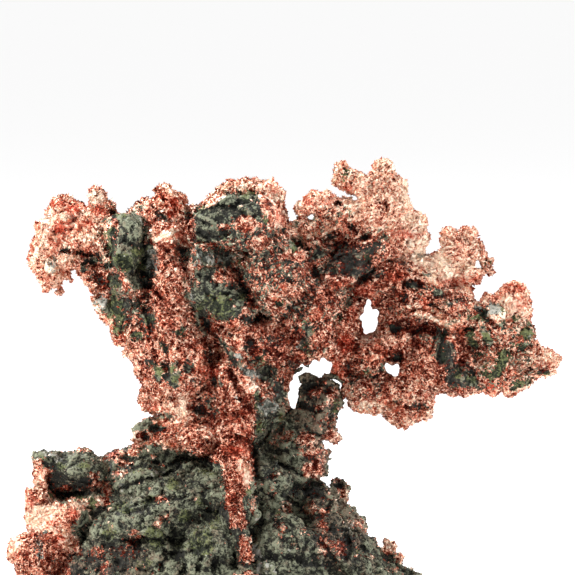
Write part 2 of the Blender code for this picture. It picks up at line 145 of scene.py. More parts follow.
# where the metal gives way to rock, epidote and calcite
# a patch is (across, up, half width, half height, lean, share), an area is (share, closed line);
# both are in mm, as they show from the front
rockPatches = [
    (0.62, [
        (4, 74.6), (8, 75), (12, 75.4), (17, 75.6), (20, 77.6), (20.8, 74), (20.4, 69), (16, 66.6),
        (10, 66.4), (6, 68), (3, 71),
    ]),
    # mixed ground, and the mound under the metal
    (0.52, [
        (-14, 70), (-8, 70.6), (-4, 69.8), (0, 70.8), (2, 73), (6, 73.6), (9, 73), (10, 70), (12, 68),
        (15, 66.6), (14, 64.4), (13, 62), (11.6, 59), (9.4, 57.6), (6.6, 58), (4.6, 57.6), (2.4, 56),
        (2, 53), (0, 51), (-5, 51), (-8, 52.4), (-8.4, 55.6), (-4, 57), (1, 57.4), (1.6, 59.6), (-4, 60),
        (-7.4, 61.6), (-7.2, 65), (-9, 66.6), (-9.6, 69),
    ]),
    (0.5, [
        (-37, 62), (-36, 66), (-33.6, 66), (-30, 65.6), (-27, 66), (-25.6, 63), (-25.4, 59), (-26.6, 56),
        (-29, 55), (-32, 55.6), (-34.4, 58.6), (-36, 60.4),
    ]),
    (0.5, [
        (12.4, 52), (15, 52.4), (17.6, 51.4), (19.4, 50), (19.6, 47), (18.4, 44.6), (15, 44), (12.8, 46),
        (12, 49),
    ]),
    (0.4, [(-19, 45), (-14, 45.6), (-12.6, 42), (-13.6, 38.6), (-17.6, 38.6), (-19.4, 41.6)]),
    (0.36, [
        (18, 66), (24, 68), (31, 67), (37, 65), (38, 62), (35, 59), (34, 50), (31, 50), (28, 54), (23, 55),
        (20, 58), (20, 62), (17.6, 64),
    ]),
    (0.42, [
        (36, 63), (40, 64), (43.6, 63), (45, 60), (50, 60.6), (51, 56), (49, 53.4), (52, 50.6), (50, 47),
        (44, 45.6), (39, 45), (36, 50), (37, 56),
    ]),
    (0.34, [
        (0, 80), (6, 82), (10, 84), (13, 83), (15, 79), (20, 79), (21, 75), (17, 73), (9, 73), (4, 74),
        (0, 76),
    ]),
    (0.96, [
        (-47.4, 9), (-47.4, 24.8), (-47.2, 26.6), (-47, 28), (-45, 29.6), (-36, 31), (-31, 33.6),
        (-28.8, 34.8), (-26, 35.2), (-24, 34.6), (-22.6, 34), (-20.4, 33.8), (-19, 34.4), (-18, 34),
        (-17, 33), (-15.6, 32.2), (-14, 31.8), (-12.4, 31.4), (-6.4, 31.4), (-6.4, 37), (-4, 37.4), (4, 38),
        (11, 38), (20, 22), (28, 9),
    ]),
    # arm
    (-43.8, 74, 0.9, 0.7, 0, 0.75), (-41.2, 73.8, 0.7, 0.6, 0, 0.9), (-39.4, 73, 2.4, 0.5, -5, 0.7),
    (-39, 71.6, 1.8, 1, 0, 0.75), (-40, 70.2, 1, 0.9, 0, 0.9), (-37.4, 72.2, 1.2, 1.2, -20, 0.85),
    (-35.2, 71, 1.2, 1, 0, 0.8), (-36.8, 67.6, 2, 1.2, 0, 0.6), (-35.6, 80, 1, 0.8, 0, 0.8),
    (-34.6, 83.6, 0.5, 0.5, 0, 0.9), (-34.6, 74.8, 1.1, 1.6, 0, 0.75), (-33.4, 66.6, 1.5, 2, 0, 0.55),
    (-38.5, 68.6, 1.2, 1.4, 0, 0.6),
    (0.95, [
        (-32.6, 81.2), (-31, 81.4), (-30.2, 82.4), (-29.4, 81.2), (-28.6, 80.8), (-27.6, 79.8),
        (-27.1, 78.4), (-27.2, 77.2), (-27.3, 76), (-26.9, 75.2), (-27.2, 73.8), (-27.6, 72.8), (-26.8, 72),
        (-26.5, 71), (-26.6, 69.6), (-26.6, 68), (-26.6, 66.8), (-27.6, 66.2), (-28.8, 66.2), (-29.8, 65.8),
        (-31, 66), (-31.8, 67.2), (-32.4, 69), (-33.4, 70), (-34.2, 71.2), (-34.4, 72.6), (-33.8, 73.8),
        (-33.6, 75.4), (-33.8, 76.8), (-33.4, 78.2), (-33.2, 79.6), (-34.6, 80.4), (-35.4, 81.4),
        (-34.4, 82.3), (-33.6, 81.4),
    ]),
    # side below the arm
    (-33, 63.4, 1.9, 1.6, 0, 0.8), (-29.8, 62.2, 1.3, 1.5, 0, 0.85), (-27.5, 60.8, 1.1, 2.1, 0, 0.9),
    (-32.6, 59.2, 1.9, 2.2, -10, 0.8), (-29.4, 57.2, 1.4, 1.3, 0, 0.8), (-31, 60.4, 1.2, 1.4, 0, 0.6),
    (-36.2, 61.8, 1, 1.6, 0, 0.6), (-21.2, 57.6, 1.8, 1.1, 10, 0.75), (-23.8, 54.2, 0.9, 2.2, 28, 0.75),
    (-27, 51.6, 1, 0.9, 0, 0.85), (-19, 50.6, 1.1, 1.5, 0, 0.85),
    (0.9, [
        (-24, 51.6), (-22.4, 52.4), (-21.2, 52), (-20.6, 50.6), (-20.2, 49), (-20.6, 47.4), (-21.4, 46.2),
        (-22.4, 46), (-23.2, 46.8), (-24.4, 47.6), (-25.6, 47.2), (-26.4, 48.4), (-26.4, 50.4), (-25, 51.2),
    ]),
    (0.9, [
        (-30.9, 38.2), (-29, 39.6), (-27, 40.4), (-26, 39.6), (-24.6, 39), (-23.4, 38.2), (-24.4, 37.4),
        (-26, 36.2), (-28, 35.6), (-29.6, 36.2), (-30.2, 37),
    ]),
    (-24.6, 81, 1.4, 1.8, 25, 0.75), (-22.6, 79.2, 1, 0.5, 10, 0.8), (-28.8, 82.4, 1, 0.9, 0, 0.7),
    # layered boulder, the mix below it and the boulder below that
    (0.94, [
        (-19.8, 82), (-18.6, 81.6), (-17.6, 82.6), (-15.8, 82.9), (-14.2, 83.6), (-12.6, 84.7), (-11, 85.6),
        (-9.4, 86), (-8, 85.7), (-6.6, 85.9), (-5.4, 85.5), (-4.9, 84.2), (-4.6, 82.6), (-4.2, 80.6),
        (-3.2, 79), (-4.4, 78.6), (-5.6, 80.2), (-7, 81), (-8.8, 80.6), (-10.2, 79.6), (-11, 78.4),
        (-10.8, 76.6), (-12, 75.4), (-14, 75.6), (-16, 75.2), (-17.8, 74.8), (-19.8, 75), (-20, 76),
        (-18.8, 77.6), (-20, 79),
    ]),
    (0.55, [
        (-20, 74.6), (-17.6, 75.2), (-12, 75.6), (-11, 77), (-9.6, 79.2), (-5, 80), (-3, 78.6),
        (-0.6, 78.4), (1, 76.6), (0, 73), (-1, 70.6), (-4, 69.6), (-8, 70.4), (-12, 70.2), (-16, 70.6),
        (-18.6, 71.4), (-20.4, 73),
    ]),
    (0.8, [
        (-18.4, 74), (-16.6, 74.2), (-14.6, 73.6), (-12.8, 72.8), (-13, 71.4), (-15, 70.6), (-16.8, 71),
        (-18.2, 72.4),
    ]),
    (0.93, [
        (-18.2, 70.4), (-16, 70.6), (-14, 70.6), (-12.4, 70), (-10.6, 69.6), (-9.6, 68.6), (-9.4, 66.8),
        (-7.6, 66.2), (-7, 64.8), (-7.4, 63.2), (-8.6, 62), (-9, 60.4), (-11, 59.6), (-13.4, 59.6),
        (-14.2, 60.8), (-15.6, 62), (-16.4, 63.4), (-17.2, 65), (-17.2, 67), (-17.8, 68.6),
    ]),
    (0.75, [
        (-20.4, 66), (-19, 66.6), (-18, 64), (-16.8, 61.4), (-15.6, 58.4), (-14.8, 57), (-16, 56.4),
        (-17.2, 58.2), (-18.4, 61), (-19.6, 63.6),
    ]),
    (-21.5, 74, 0.6, 2.2, 8, 0.7), (-20.2, 68.4, 0.7, 2, 20, 0.6),
    (0.8, [
        (-14, 57.6), (-12, 56), (-10, 54.4), (-8.6, 53), (-8, 51.4), (-9, 50.4), (-10.8, 50.6),
        (-11.2, 52.4), (-12.4, 54.4), (-14, 56),
    ]),
    (-15.2, 53, 0.9, 2.8, -4, 0.6), (-6.4, 54.2, 1.8, 2, -10, 0.95), (-4, 52.6, 3.6, 1.9, 5, 0.85),
    (-6.8, 60, 2.2, 1.1, 0, 0.85), (-10.8, 56.9, 1, 0.5, 0, 0.8),
    # middle, right of the trunk
    (0.8, [
        (1.6, 64), (2.8, 63.6), (3.6, 61.6), (4.8, 60.2), (5.6, 58.8), (7, 57.4), (9.4, 57.8), (9.2, 56.4),
        (8.8, 54.4), (8.6, 53.4), (7.2, 53.4), (6, 53.2), (5.4, 52.2), (4.2, 52.6), (3.6, 53.6),
        (2.2, 54.4), (2.4, 55.4), (4, 56.4), (3.8, 58.2), (3.4, 59.8), (2.2, 61.4),
    ]),
    (-0.6, 63.6, 1.3, 1.1, 0, 0.95), (-0.4, 52.2, 3.2, 1.6, 0, 0.7), (2, 51, 2.2, 1.2, 0, 0.6),
    (10.8, 60.6, 1, 1.6, -10, 0.75), (7.2, 62.6, 0.7, 1.2, 0, 0.6), (9.2, 65, 2.4, 1.3, 0, 0.6),
    (7.8, 67.6, 1.8, 1.3, 0, 0.85), (10, 67, 0.6, 1.2, 0, 0.7), (13.2, 63.6, 0.8, 0.8, 0, 0.7),
    (13, 67.4, 2.2, 1.6, 0, 0.6), (1, 68, 0.8, 1.2, 0, 0.6), (2.4, 75, 2.2, 1.5, 0, 0.85),
    (0, 78, 0.8, 0.6, 0, 0.85), (3.4, 71.4, 1.8, 1.1, 0, 0.8), (6.8, 73, 2, 1.2, 0, 0.8),
    (9, 71, 1.4, 1.6, 0, 0.8), (4.8, 73, 1.2, 0.8, 0, 0.6), (0.6, 71.4, 1.2, 1.2, 0, 0.6),
    (-2.6, 74.4, 2.4, 1.6, 0, 0.6), (-9.6, 77, 1.6, 1.2, 0, 0.85),
    (0.84, [
        (9, 74), (10, 73.4), (12, 73.8), (14, 74.4), (15.6, 74.4), (16.6, 75), (18.2, 75.8), (19.2, 76.8),
        (20, 78), (20.7, 77), (20.2, 75.4), (19.4, 74.2), (18.4, 73.2), (17.8, 72), (18.6, 71), (20, 70.4),
        (20.4, 69.2), (19, 68.4), (17.6, 68.2), (16.4, 67.8), (15.4, 67.2), (13.6, 67.6), (11.6, 68.4),
        (10.6, 69.4), (10, 71),
    ]),
    # crown
    (8.8, 76.3, 1.4, 0.7, 30, 0.85), (11.2, 77, 1.6, 0.6, 20, 0.6), (15.8, 76.2, 1.5, 0.5, 15, 0.9),
    (11, 83.2, 1.1, 0.6, -40, 0.85), (11.2, 81.4, 1, 0.6, 15, 0.7), (13.2, 79, 1.2, 0.6, -40, 0.8),
    (10.8, 79.6, 0.8, 0.6, 0, 0.6), (2.8, 79.4, 0.7, 1, 0, 0.7), (13.9, 88.7, 0.5, 0.6, 0, 0.7),
    (12.2, 89.2, 0.6, 1.2, 0, 0.5), (21.6, 89.6, 0.4, 0.8, 0, 0.6), (21.4, 71.6, 1.4, 0.6, 0, 0.7),
    # right branch
    (25.4, 67, 1.6, 1.1, -20, 0.75), (31, 65.5, 1.4, 1.2, 0, 0.9), (28.6, 69.2, 1.2, 0.6, -25, 0.7),
    (28, 66.6, 1.2, 0.9, -20, 0.6), (24.2, 64.4, 1, 1.3, 0, 0.9), (35.2, 63.9, 1.3, 0.5, -20, 0.8),
    (34.6, 60.4, 0.6, 0.5, 0, 0.7), (29, 64.2, 1, 0.9, 0, 0.5), (22.4, 58.6, 1.5, 1.3, -15, 0.9),
    (23.2, 57, 1.3, 0.8, 0, 0.7), (22.6, 52.6, 1.2, 1, -15, 0.9), (19.6, 50.6, 0.9, 1.1, 0, 0.9),
    (15.2, 51.4, 1.4, 0.9, 0, 0.75), (17.2, 49, 1.5, 1.7, 0, 0.8), (14.6, 54.6, 0.7, 1, -20, 0.7),
    (18.8, 46, 1.1, 1.4, 0, 0.5), (16.2, 46.6, 1.6, 1.4, 0, 0.45), (26.8, 42.9, 2.2, 0.8, 0, 0.75),
    (23, 43.7, 1, 0.5, 0, 0.7), (35, 45.8, 2, 0.5, 0, 0.5),
    (0.95, [
        (31.4, 58.6), (33, 58.4), (33, 57), (32.8, 56), (34, 55.6), (34.6, 54.6), (34.2, 53.4), (34.6, 52),
        (34.4, 51), (35.6, 51), (37, 51.8), (38, 51), (38.4, 50), (39, 49), (38.8, 48), (39, 47),
        (38.4, 46.2), (37, 46.4), (35.4, 46.2), (34, 46.4), (32.8, 46.8), (32.2, 48), (32.4, 49.4),
        (31.6, 50.8), (30.2, 52), (30, 53.6), (30.4, 55), (29.8, 56), (30.6, 57.4),
    ]),
    # right lobe
    (39.8, 61.4, 1.5, 1.1, 20, 0.95), (40.8, 60, 1.4, 0.8, -30, 0.9), (37.2, 61, 1.1, 0.7, 0, 0.8),
    (37.6, 60, 1, 0.7, 0, 0.8), (37.2, 57.2, 1.2, 1.3, 0, 0.9), (38.2, 54.8, 1.2, 0.9, 0, 0.95),
    (40.8, 56.3, 1.2, 2.1, 20, 0.95), (43.9, 59.1, 1, 0.9, 0, 0.9), (46.4, 60.2, 0.7, 0.9, 0, 0.85),
    (48.9, 59.8, 0.5, 0.5, 0, 0.8), (48.6, 57.3, 1.5, 1.3, 0, 0.9), (46.4, 54.8, 0.9, 0.6, 0, 0.8),
    (48.4, 54.9, 1.3, 0.8, 0, 0.85), (47, 53.6, 1, 0.4, 0, 0.7), (39, 51, 1.1, 0.5, 0, 0.7),
    (39.4, 53, 0.9, 0.7, 0, 0.7), (51.8, 49.6, 1.4, 0.7, 0, 0.8), (49.5, 50, 0.6, 0.4, 0, 0.8),
    (40.9, 71.6, 0.8, 0.6, 0, 0.6), (43.6, 62.2, 0.7, 0.9, 0, 0.6),
    (0.9, [
        (43, 54), (44.4, 54.2), (45.6, 53.4), (45.4, 52.2), (44.4, 51.2), (44.4, 50), (43.8, 48.8),
        (42.4, 48.2), (41, 48.2), (39.8, 49), (39.2, 50), (40, 50.4), (41, 49.6), (42, 49.8), (42.4, 50.8),
        (42.6, 52), (42.4, 53),
    ]),
    (0.85, [
        (45.2, 46.4), (45.4, 47.6), (46.8, 48.2), (48.8, 48), (50, 47.8), (49.4, 47.2), (48, 46.8),
        (46.6, 46.2), (45.8, 45.4),
    ]),
    # seams and small blocks
    (-34, 66, 1.6, 3.6, 0, 0.85), (-34.6, 62.6, 1.4, 2, 0, 0.8), (-16, 73, 6, 1.8, 4, 0.8),
    (-1.4, 72, 0.9, 1.6, 0, 0.85), (4.2, 55.2, 1.6, 1.4, 0, 0.95), (-4.4, 52, 1.2, 1.2, 0, 0.95),
    (12, 70.4, 4, 1.6, -5, 0.9), (-27, 71.6, 1.4, 5.4, 3, 0.9), (-16.9, 63, 1.3, 5.4, 19, 0.95),
    (-11.8, 72.2, 1.5, 2.2, 0, 0.85), (-19.6, 73.6, 2.4, 1.2, 0, 0.8), (-32.2, 63, 2.8, 1.8, 0, 0.75),
    (-26.6, 60.2, 1.4, 1.4, 0, 0.9), (-9.8, 78.2, 1.4, 1, 0, 0.9), (-3.6, 49.4, 2.4, 1.9, -20, 0.95),
    (-24.4, 40.6, 3.2, 0.9, -5, 0.85), (-7.6, 68.6, 1.1, 2, 0, 0.75), (16.8, 72.6, 1, 1.6, 0, 0.95),
    (18.4, 75, 0.9, 0.9, 0, 0.9),
    # waist and post
    (-16.4, 42.6, 2.4, 2.4, 0, 0.6), (-13.4, 47.4, 1.3, 1.4, 0, 0.7), (-17, 47.6, 1.4, 1.4, 0, 0.5),
    (-4.6, 43.4, 1.4, 3.2, 0, 0.9),
    (0.9, [
        (-6.4, 44.6), (-5, 46), (-3, 47.6), (-1, 48.6), (0.6, 48), (0.6, 46), (0.4, 43.6), (1.4, 42),
        (2.6, 41.6), (4, 39.6), (3, 37), (0, 36), (-4, 36), (-6.2, 37.6), (-5.8, 40),
    ]),
    (0.85, [
        (2.6, 42), (2.8, 46), (3.2, 49.4), (5, 49.6), (7, 48.6), (9, 47.8), (10.4, 47.6), (11.4, 46),
        (11.9, 44), (12, 42.4), (10.8, 41.4), (10.6, 39.4), (10.2, 38), (8, 37.4), (6, 38.6), (4, 40),
    ]),
]
epidotePatches = [
    (-34.2, 68, 1.1, 1.6, 0, 1), (-29.4, 73.4, 1.4, 1.2, 0, 1), (-33, 61, 1.4, 1.2, 0, 1),
    (-34.6, 73.6, 0.8, 2, 0, 0.9), (-27.4, 71, 0.7, 1, 0, 1), (-40, 30.8, 1.4, 1, 0, 0.8),
    (-44.8, 30.8, 1.2, 0.8, 0, 0.8), (-22.4, 27, 1.4, 1.4, 0, 0.75), (-20, 20.6, 1.6, 1.4, 0, 0.7),
    (-32, 22.4, 1.6, 1.2, 0, 0.75), (-32.4, 71.4, 2.4, 1.8, -20, 0.95), (-34.6, 77.6, 1.2, 1, 0, 0.9),
    (-32.6, 81.2, 1.3, 0.8, 0, 0.85), (-28, 74.8, 1, 1, 0, 0.7), (-34, 67, 1, 1, 0, 0.9),
    (-33.8, 63.2, 1.3, 2.4, 10, 0.95), (-26.8, 60, 1, 0.9, 0, 0.95), (-17, 82.2, 1, 0.8, 0, 0.8),
    (-7.6, 84.6, 0.9, 1.3, 10, 0.8), (-8, 81.4, 0.9, 0.7, 0, 0.7), (-3.8, 80.2, 0.7, 1.2, 0, 0.8),
    (-12.6, 62.4, 2.8, 3.2, 20, 0.62), (-8.2, 64.6, 1.1, 0.9, 0, 0.9), (-16.8, 62.6, 0.8, 1.4, 0, 0.7),
    (-17, 76.2, 0.8, 0.9, 0, 0.6), (-12.4, 76.6, 1.4, 0.7, 0, 0.5), (-1, 63.4, 1.3, 0.8, 0, 0.95),
    (-22.8, 50, 1.3, 0.8, 10, 0.9), (-21.6, 48, 1.1, 1, 0, 0.85), (-26.4, 51, 1.1, 0.7, 0, 0.8),
    (-4.4, 51.8, 0.9, 0.9, 0, 0.85), (-0.4, 40.4, 0.9, 1, 0, 0.7), (2, 74.4, 0.9, 0.8, 0, 0.95),
    (16.7, 72.5, 0.7, 1.2, 10, 0.85), (18.4, 75, 0.7, 0.8, 0, 0.7), (32.2, 57, 0.8, 1, 0, 0.85),
    (31.6, 54, 0.7, 1.1, 0, 0.9), (32, 52, 0.7, 0.8, 0, 0.8), (34.7, 49.2, 1, 0.9, -40, 0.95),
    (37.4, 48, 1, 1.2, -30, 0.9), (38.6, 60.7, 2.2, 0.9, 5, 0.85), (37.8, 55.4, 1.2, 1, -30, 0.95),
    (40.7, 56.4, 1, 1.1, 0, 0.95), (47.8, 54.6, 1, 0.8, 0, 0.85), (46, 46.4, 1, 0.7, -30, 0.9),
    (43.3, 48.8, 0.9, 0.7, 20, 0.8), (52.7, 49.4, 1, 0.7, 0, 0.8), (40.3, 50.6, 0.8, 0.8, 0, 0.7),
    (4.3, 54.7, 1, 0.9, 0, 0.9), (6.2, 57.6, 0.7, 0.8, 0, 0.7), (4.2, 59.6, 0.8, 1.2, 10, 0.5),
    (10.6, 70.2, 1.3, 0.8, -20, 0.6), (22, 58.8, 1, 0.7, -20, 0.5), (23, 52.4, 0.8, 0.7, 0, 0.5),
    (16.7, 49.5, 0.8, 0.7, 0, 0.6), (10.2, 41.6, 0.9, 0.8, 0, 0.85), (6.4, 27, 1.4, 0.7, -30, 0.6),
    (-16.6, 15.4, 2.8, 3, 0, 0.62), (-15, 29.4, 2.6, 0.8, -15, 0.6), (-26, 16.4, 2.2, 2.6, 20, 0.58),
    (-27, 23.8, 1.2, 1.2, 0, 0.7), (-33.2, 22.6, 1.2, 1, 20, 0.7), (-28, 11, 2, 1.2, 0, 0.55),
    (-29, 30, 3, 1, 15, 0.55), (-35, 17.6, 2, 2, 0, 0.5), (-14, 20, 1.6, 3, 0, 0.48),
    (14, 13.6, 1.8, 1.2, 0, 0.5), (-36.2, 77.4, 1.2, 0.9, 0, 0.65), (-35.2, 75.0, 1.0, 2.4, 0, 0.7),
    (-34.6, 68.2, 1.2, 1.6, 0, 0.8), (-34.2, 60.6, 1.6, 1.0, 0, 0.65), (-33, 58.6, 1.6, 2.0, 0, 0.7),
    (-29.6, 57.0, 1.4, 1.2, 0, 0.75), (-28.4, 71.0, 1.3, 1.2, 0, 0.95), (-31.4, 71.4, 2.2, 1.1, 0, 0.55),
    (-29, 63.4, 1.4, 1.2, 0, 0.55), (-24.0, 54.0, 0.7, 1.8, 28, 0.75), (-20.8, 57.4, 1.2, 1.0, 0, 0.75),
    (-25.2, 49.8, 1.2, 1.3, 0, 0.8), (-16.8, 82.7, 1.2, 0.7, 0, 0.9), (-6.2, 85.4, 1.0, 0.6, 0, 0.7),
    (-14.6, 64.0, 1.6, 2.2, 0, 0.6), (2.4, 75.0, 1.3, 0.8, 0, 0.75), (-8.6, 71.2, 1.8, 1.0, 0, 0.55),
    (10.9, 60.2, 0.7, 1.0, 0, 0.75), (7.4, 62.6, 0.5, 1.0, 0, 0.6), (12.2, 89.2, 0.8, 1.5, -10, 0.9),
    (37.2, 57.0, 1.2, 1.3, 0, 0.95), (37, 61, 1.2, 0.7, 0, 0.7), (38, 54.8, 1.2, 0.9, 0, 0.8),
    (46.4, 60.2, 0.8, 0.9, 0, 0.85), (48.6, 57.2, 1.4, 1.3, 0, 0.85), (49.0, 59.8, 0.5, 0.5, 0, 0.8),
    (43.5, 62.2, 0.8, 1, 0, 0.75), (39.4, 53.0, 1.0, 0.8, 0, 0.6),
    (0.95, [
        (43, 54), (44.4, 54.2), (45.6, 53.4), (45.4, 52.2), (44.4, 51.2), (44.4, 50), (43.8, 48.8),
        (42.4, 48.2), (41, 48.2), (39.8, 49), (39.2, 50), (40, 50.4), (41, 49.6), (42, 49.8), (42.4, 50.8),
        (42.6, 52), (42.4, 53),
    ]),
    (46.4, 54.8, 0.9, 0.6, 0, 0.8), (46.9, 47.4, 2.0, 0.8, 15, 0.9), (52.2, 49.3, 1.4, 0.6, 0, 0.65),
    (37.4, 48.0, 1.4, 0.9, 0, 0.75), (40.9, 71.6, 0.8, 0.6, 0, 0.7), (34.4, 46.2, 1.6, 0.6, 0, 0.55),
    (5, 52.8, 0.9, 0.8, 0, 0.7), (15.4, 51.6, 1.2, 0.9, 0, 0.5), (-5.4, 43.8, 0.6, 1.8, 0, 0.75),
    (-4.8, 38.6, 1.0, 1.3, 0, 0.85), (10.4, 43, 0.8, 1.3, 0, 0.9), (-41.0, 24.3, 2.6, 0.5, -2, 0.9),
    (-38.4, 23.2, 1.2, 1.1, 0, 0.8), (-33.4, 22.4, 1.6, 0.7, 0, 0.7), (-44.4, 24, 1.6, 0.5, 10, 0.5),
    (-17.0, 23.6, 1.0, 0.8, 0, 0.85), (-46.8, 25.4, 0.8, 1.2, 0, 0.75), (-48.4, 32.4, 1.2, 0.8, 0, 0.55),
    (-20.6, 20.6, 1.0, 0.7, 0, 0.6), (-20.0, 14.6, 3.0, 0.6, 0, 0.6), (-7, 26, 0.6, 1.4, 0, 0.8),
    (-1.2, 21.8, 0.8, 1.0, 0, 0.55), (-29, 18.6, 1.2, 0.6, 0, 0.5),
]
calcitePatches = [
    (-13, 72.6, 3, 1.1, 0, 0.6), (-18.6, 73.4, 1.4, 0.8, 0, 0.5), (-26.6, 71.8, 0.8, 2.4, 3, 0.85),
    (-3, 42.6, 1.6, 1.2, 0, 1), (-7.4, 49.4, 1.4, 0.7, -15, 1), (-27, 71.4, 1, 2.8, 3, 0.72),
    (-6.8, 49.4, 2.2, 1.1, -15, 1), (-3.2, 42.6, 2, 1.6, 0, 0.9), (-5.4, 12.8, 1, 1.2, 0, 0.8),
    (-32.4, 26.2, 0.9, 1.6, 0, 0.6), (-26, 29.2, 2.4, 0.8, 10, 0.5), (-8.2, 21, 0.4, 2, 0, 0.5),
    (-18.2, 64.4, 0.7, 1.4, 15, 0.65), (-28.2, 79.4, 0.8, 0.6, 0, 0.5), (-12.6, 72.2, 1.6, 0.9, 0, 0.45),
    (27.4, 72.8, 1.8, 0.6, -10, 0.7), (-46.4, 71.4, 1.2, 1.9, 0, 0.62), (-37, 64, 1.5, 1.5, 0, 0.7),
    (-25.7, 71.6, 0.6, 3.2, 4, 0.85), (-24.6, 80.6, 1.0, 1.6, 25, 0.7), (-16.8, 72.4, 1.6, 1.4, 0, 0.6),
    (-14.4, 72.0, 1.6, 0.8, 0, 0.6), (-6.8, 48.9, 2.4, 0.8, -8, 0.95), (-3.4, 42.2, 1.4, 1.0, 0, 0.8),
    (-1.6, 44.6, 1.2, 0.9, 0, 0.6), (-18.5, 48.0, 0.4, 0.8, 0, 0.8), (41.8, 62.3, 1.6, 1.2, -8, 0.98),
    (39.6, 62.6, 1.2, 0.6, 30, 0.7), (17.0, 42.5, 2.0, 0.4, 0, 0.8), (-4.9, 12.5, 1.2, 0.8, -20, 0.9),
    (-3.6, 10.4, 2.6, 1.4, 0, 0.45), (-6.3, 14.8, 0.5, 2.0, 0, 0.7), (-46.6, 32.8, 2.6, 0.6, -25, 0.7),
    (-49.0, 14.6, 1.2, 3.0, 0, 0.5), (-47.8, 17.4, 1.4, 0.7, 0, 0.6), (-8.4, 22.4, 0.4, 1.0, 0, 0.7),
    (3.2, 54.9, 0.9, 0.6, 0, 0.65), (-9.4, 52.4, 1.2, 1.4, 0, 0.6), (2.6, 62.2, 0.7, 1.4, 0, 0.6),
    (6.4, 54.2, 0.7, 1.0, 0, 0.55), (-27.6, 35.0, 0.8, 0.4, 0, 0.9), (-5.2, 20.4, 0.5, 3.0, 0, 0.5),
    (-25.2, 41.0, 0.8, 0.4, 0, 0.6), (23.6, 71.2, 1.2, 0.35, -12, 0.9), (25.2, 69.9, 0.7, 0.4, -20, 0.8),
    (28.6, 69.4, 1.2, 0.4, -25, 0.6), (-11, 47.6, 0.4, 1.6, -6, 0.7), (-9.2, 44.1, 0.6, 0.5, 0, 0.8),
    (-14, 73.4, 1.2, 0.6, 0, 0.4), (-26, 82.2, 0.6, 0.8, 0, 0.5), (13.8, 19, 0.5, 1.4, -30, 0.4),
    (-42.8, 30, 1.2, 0.6, 0, 0.35),
]
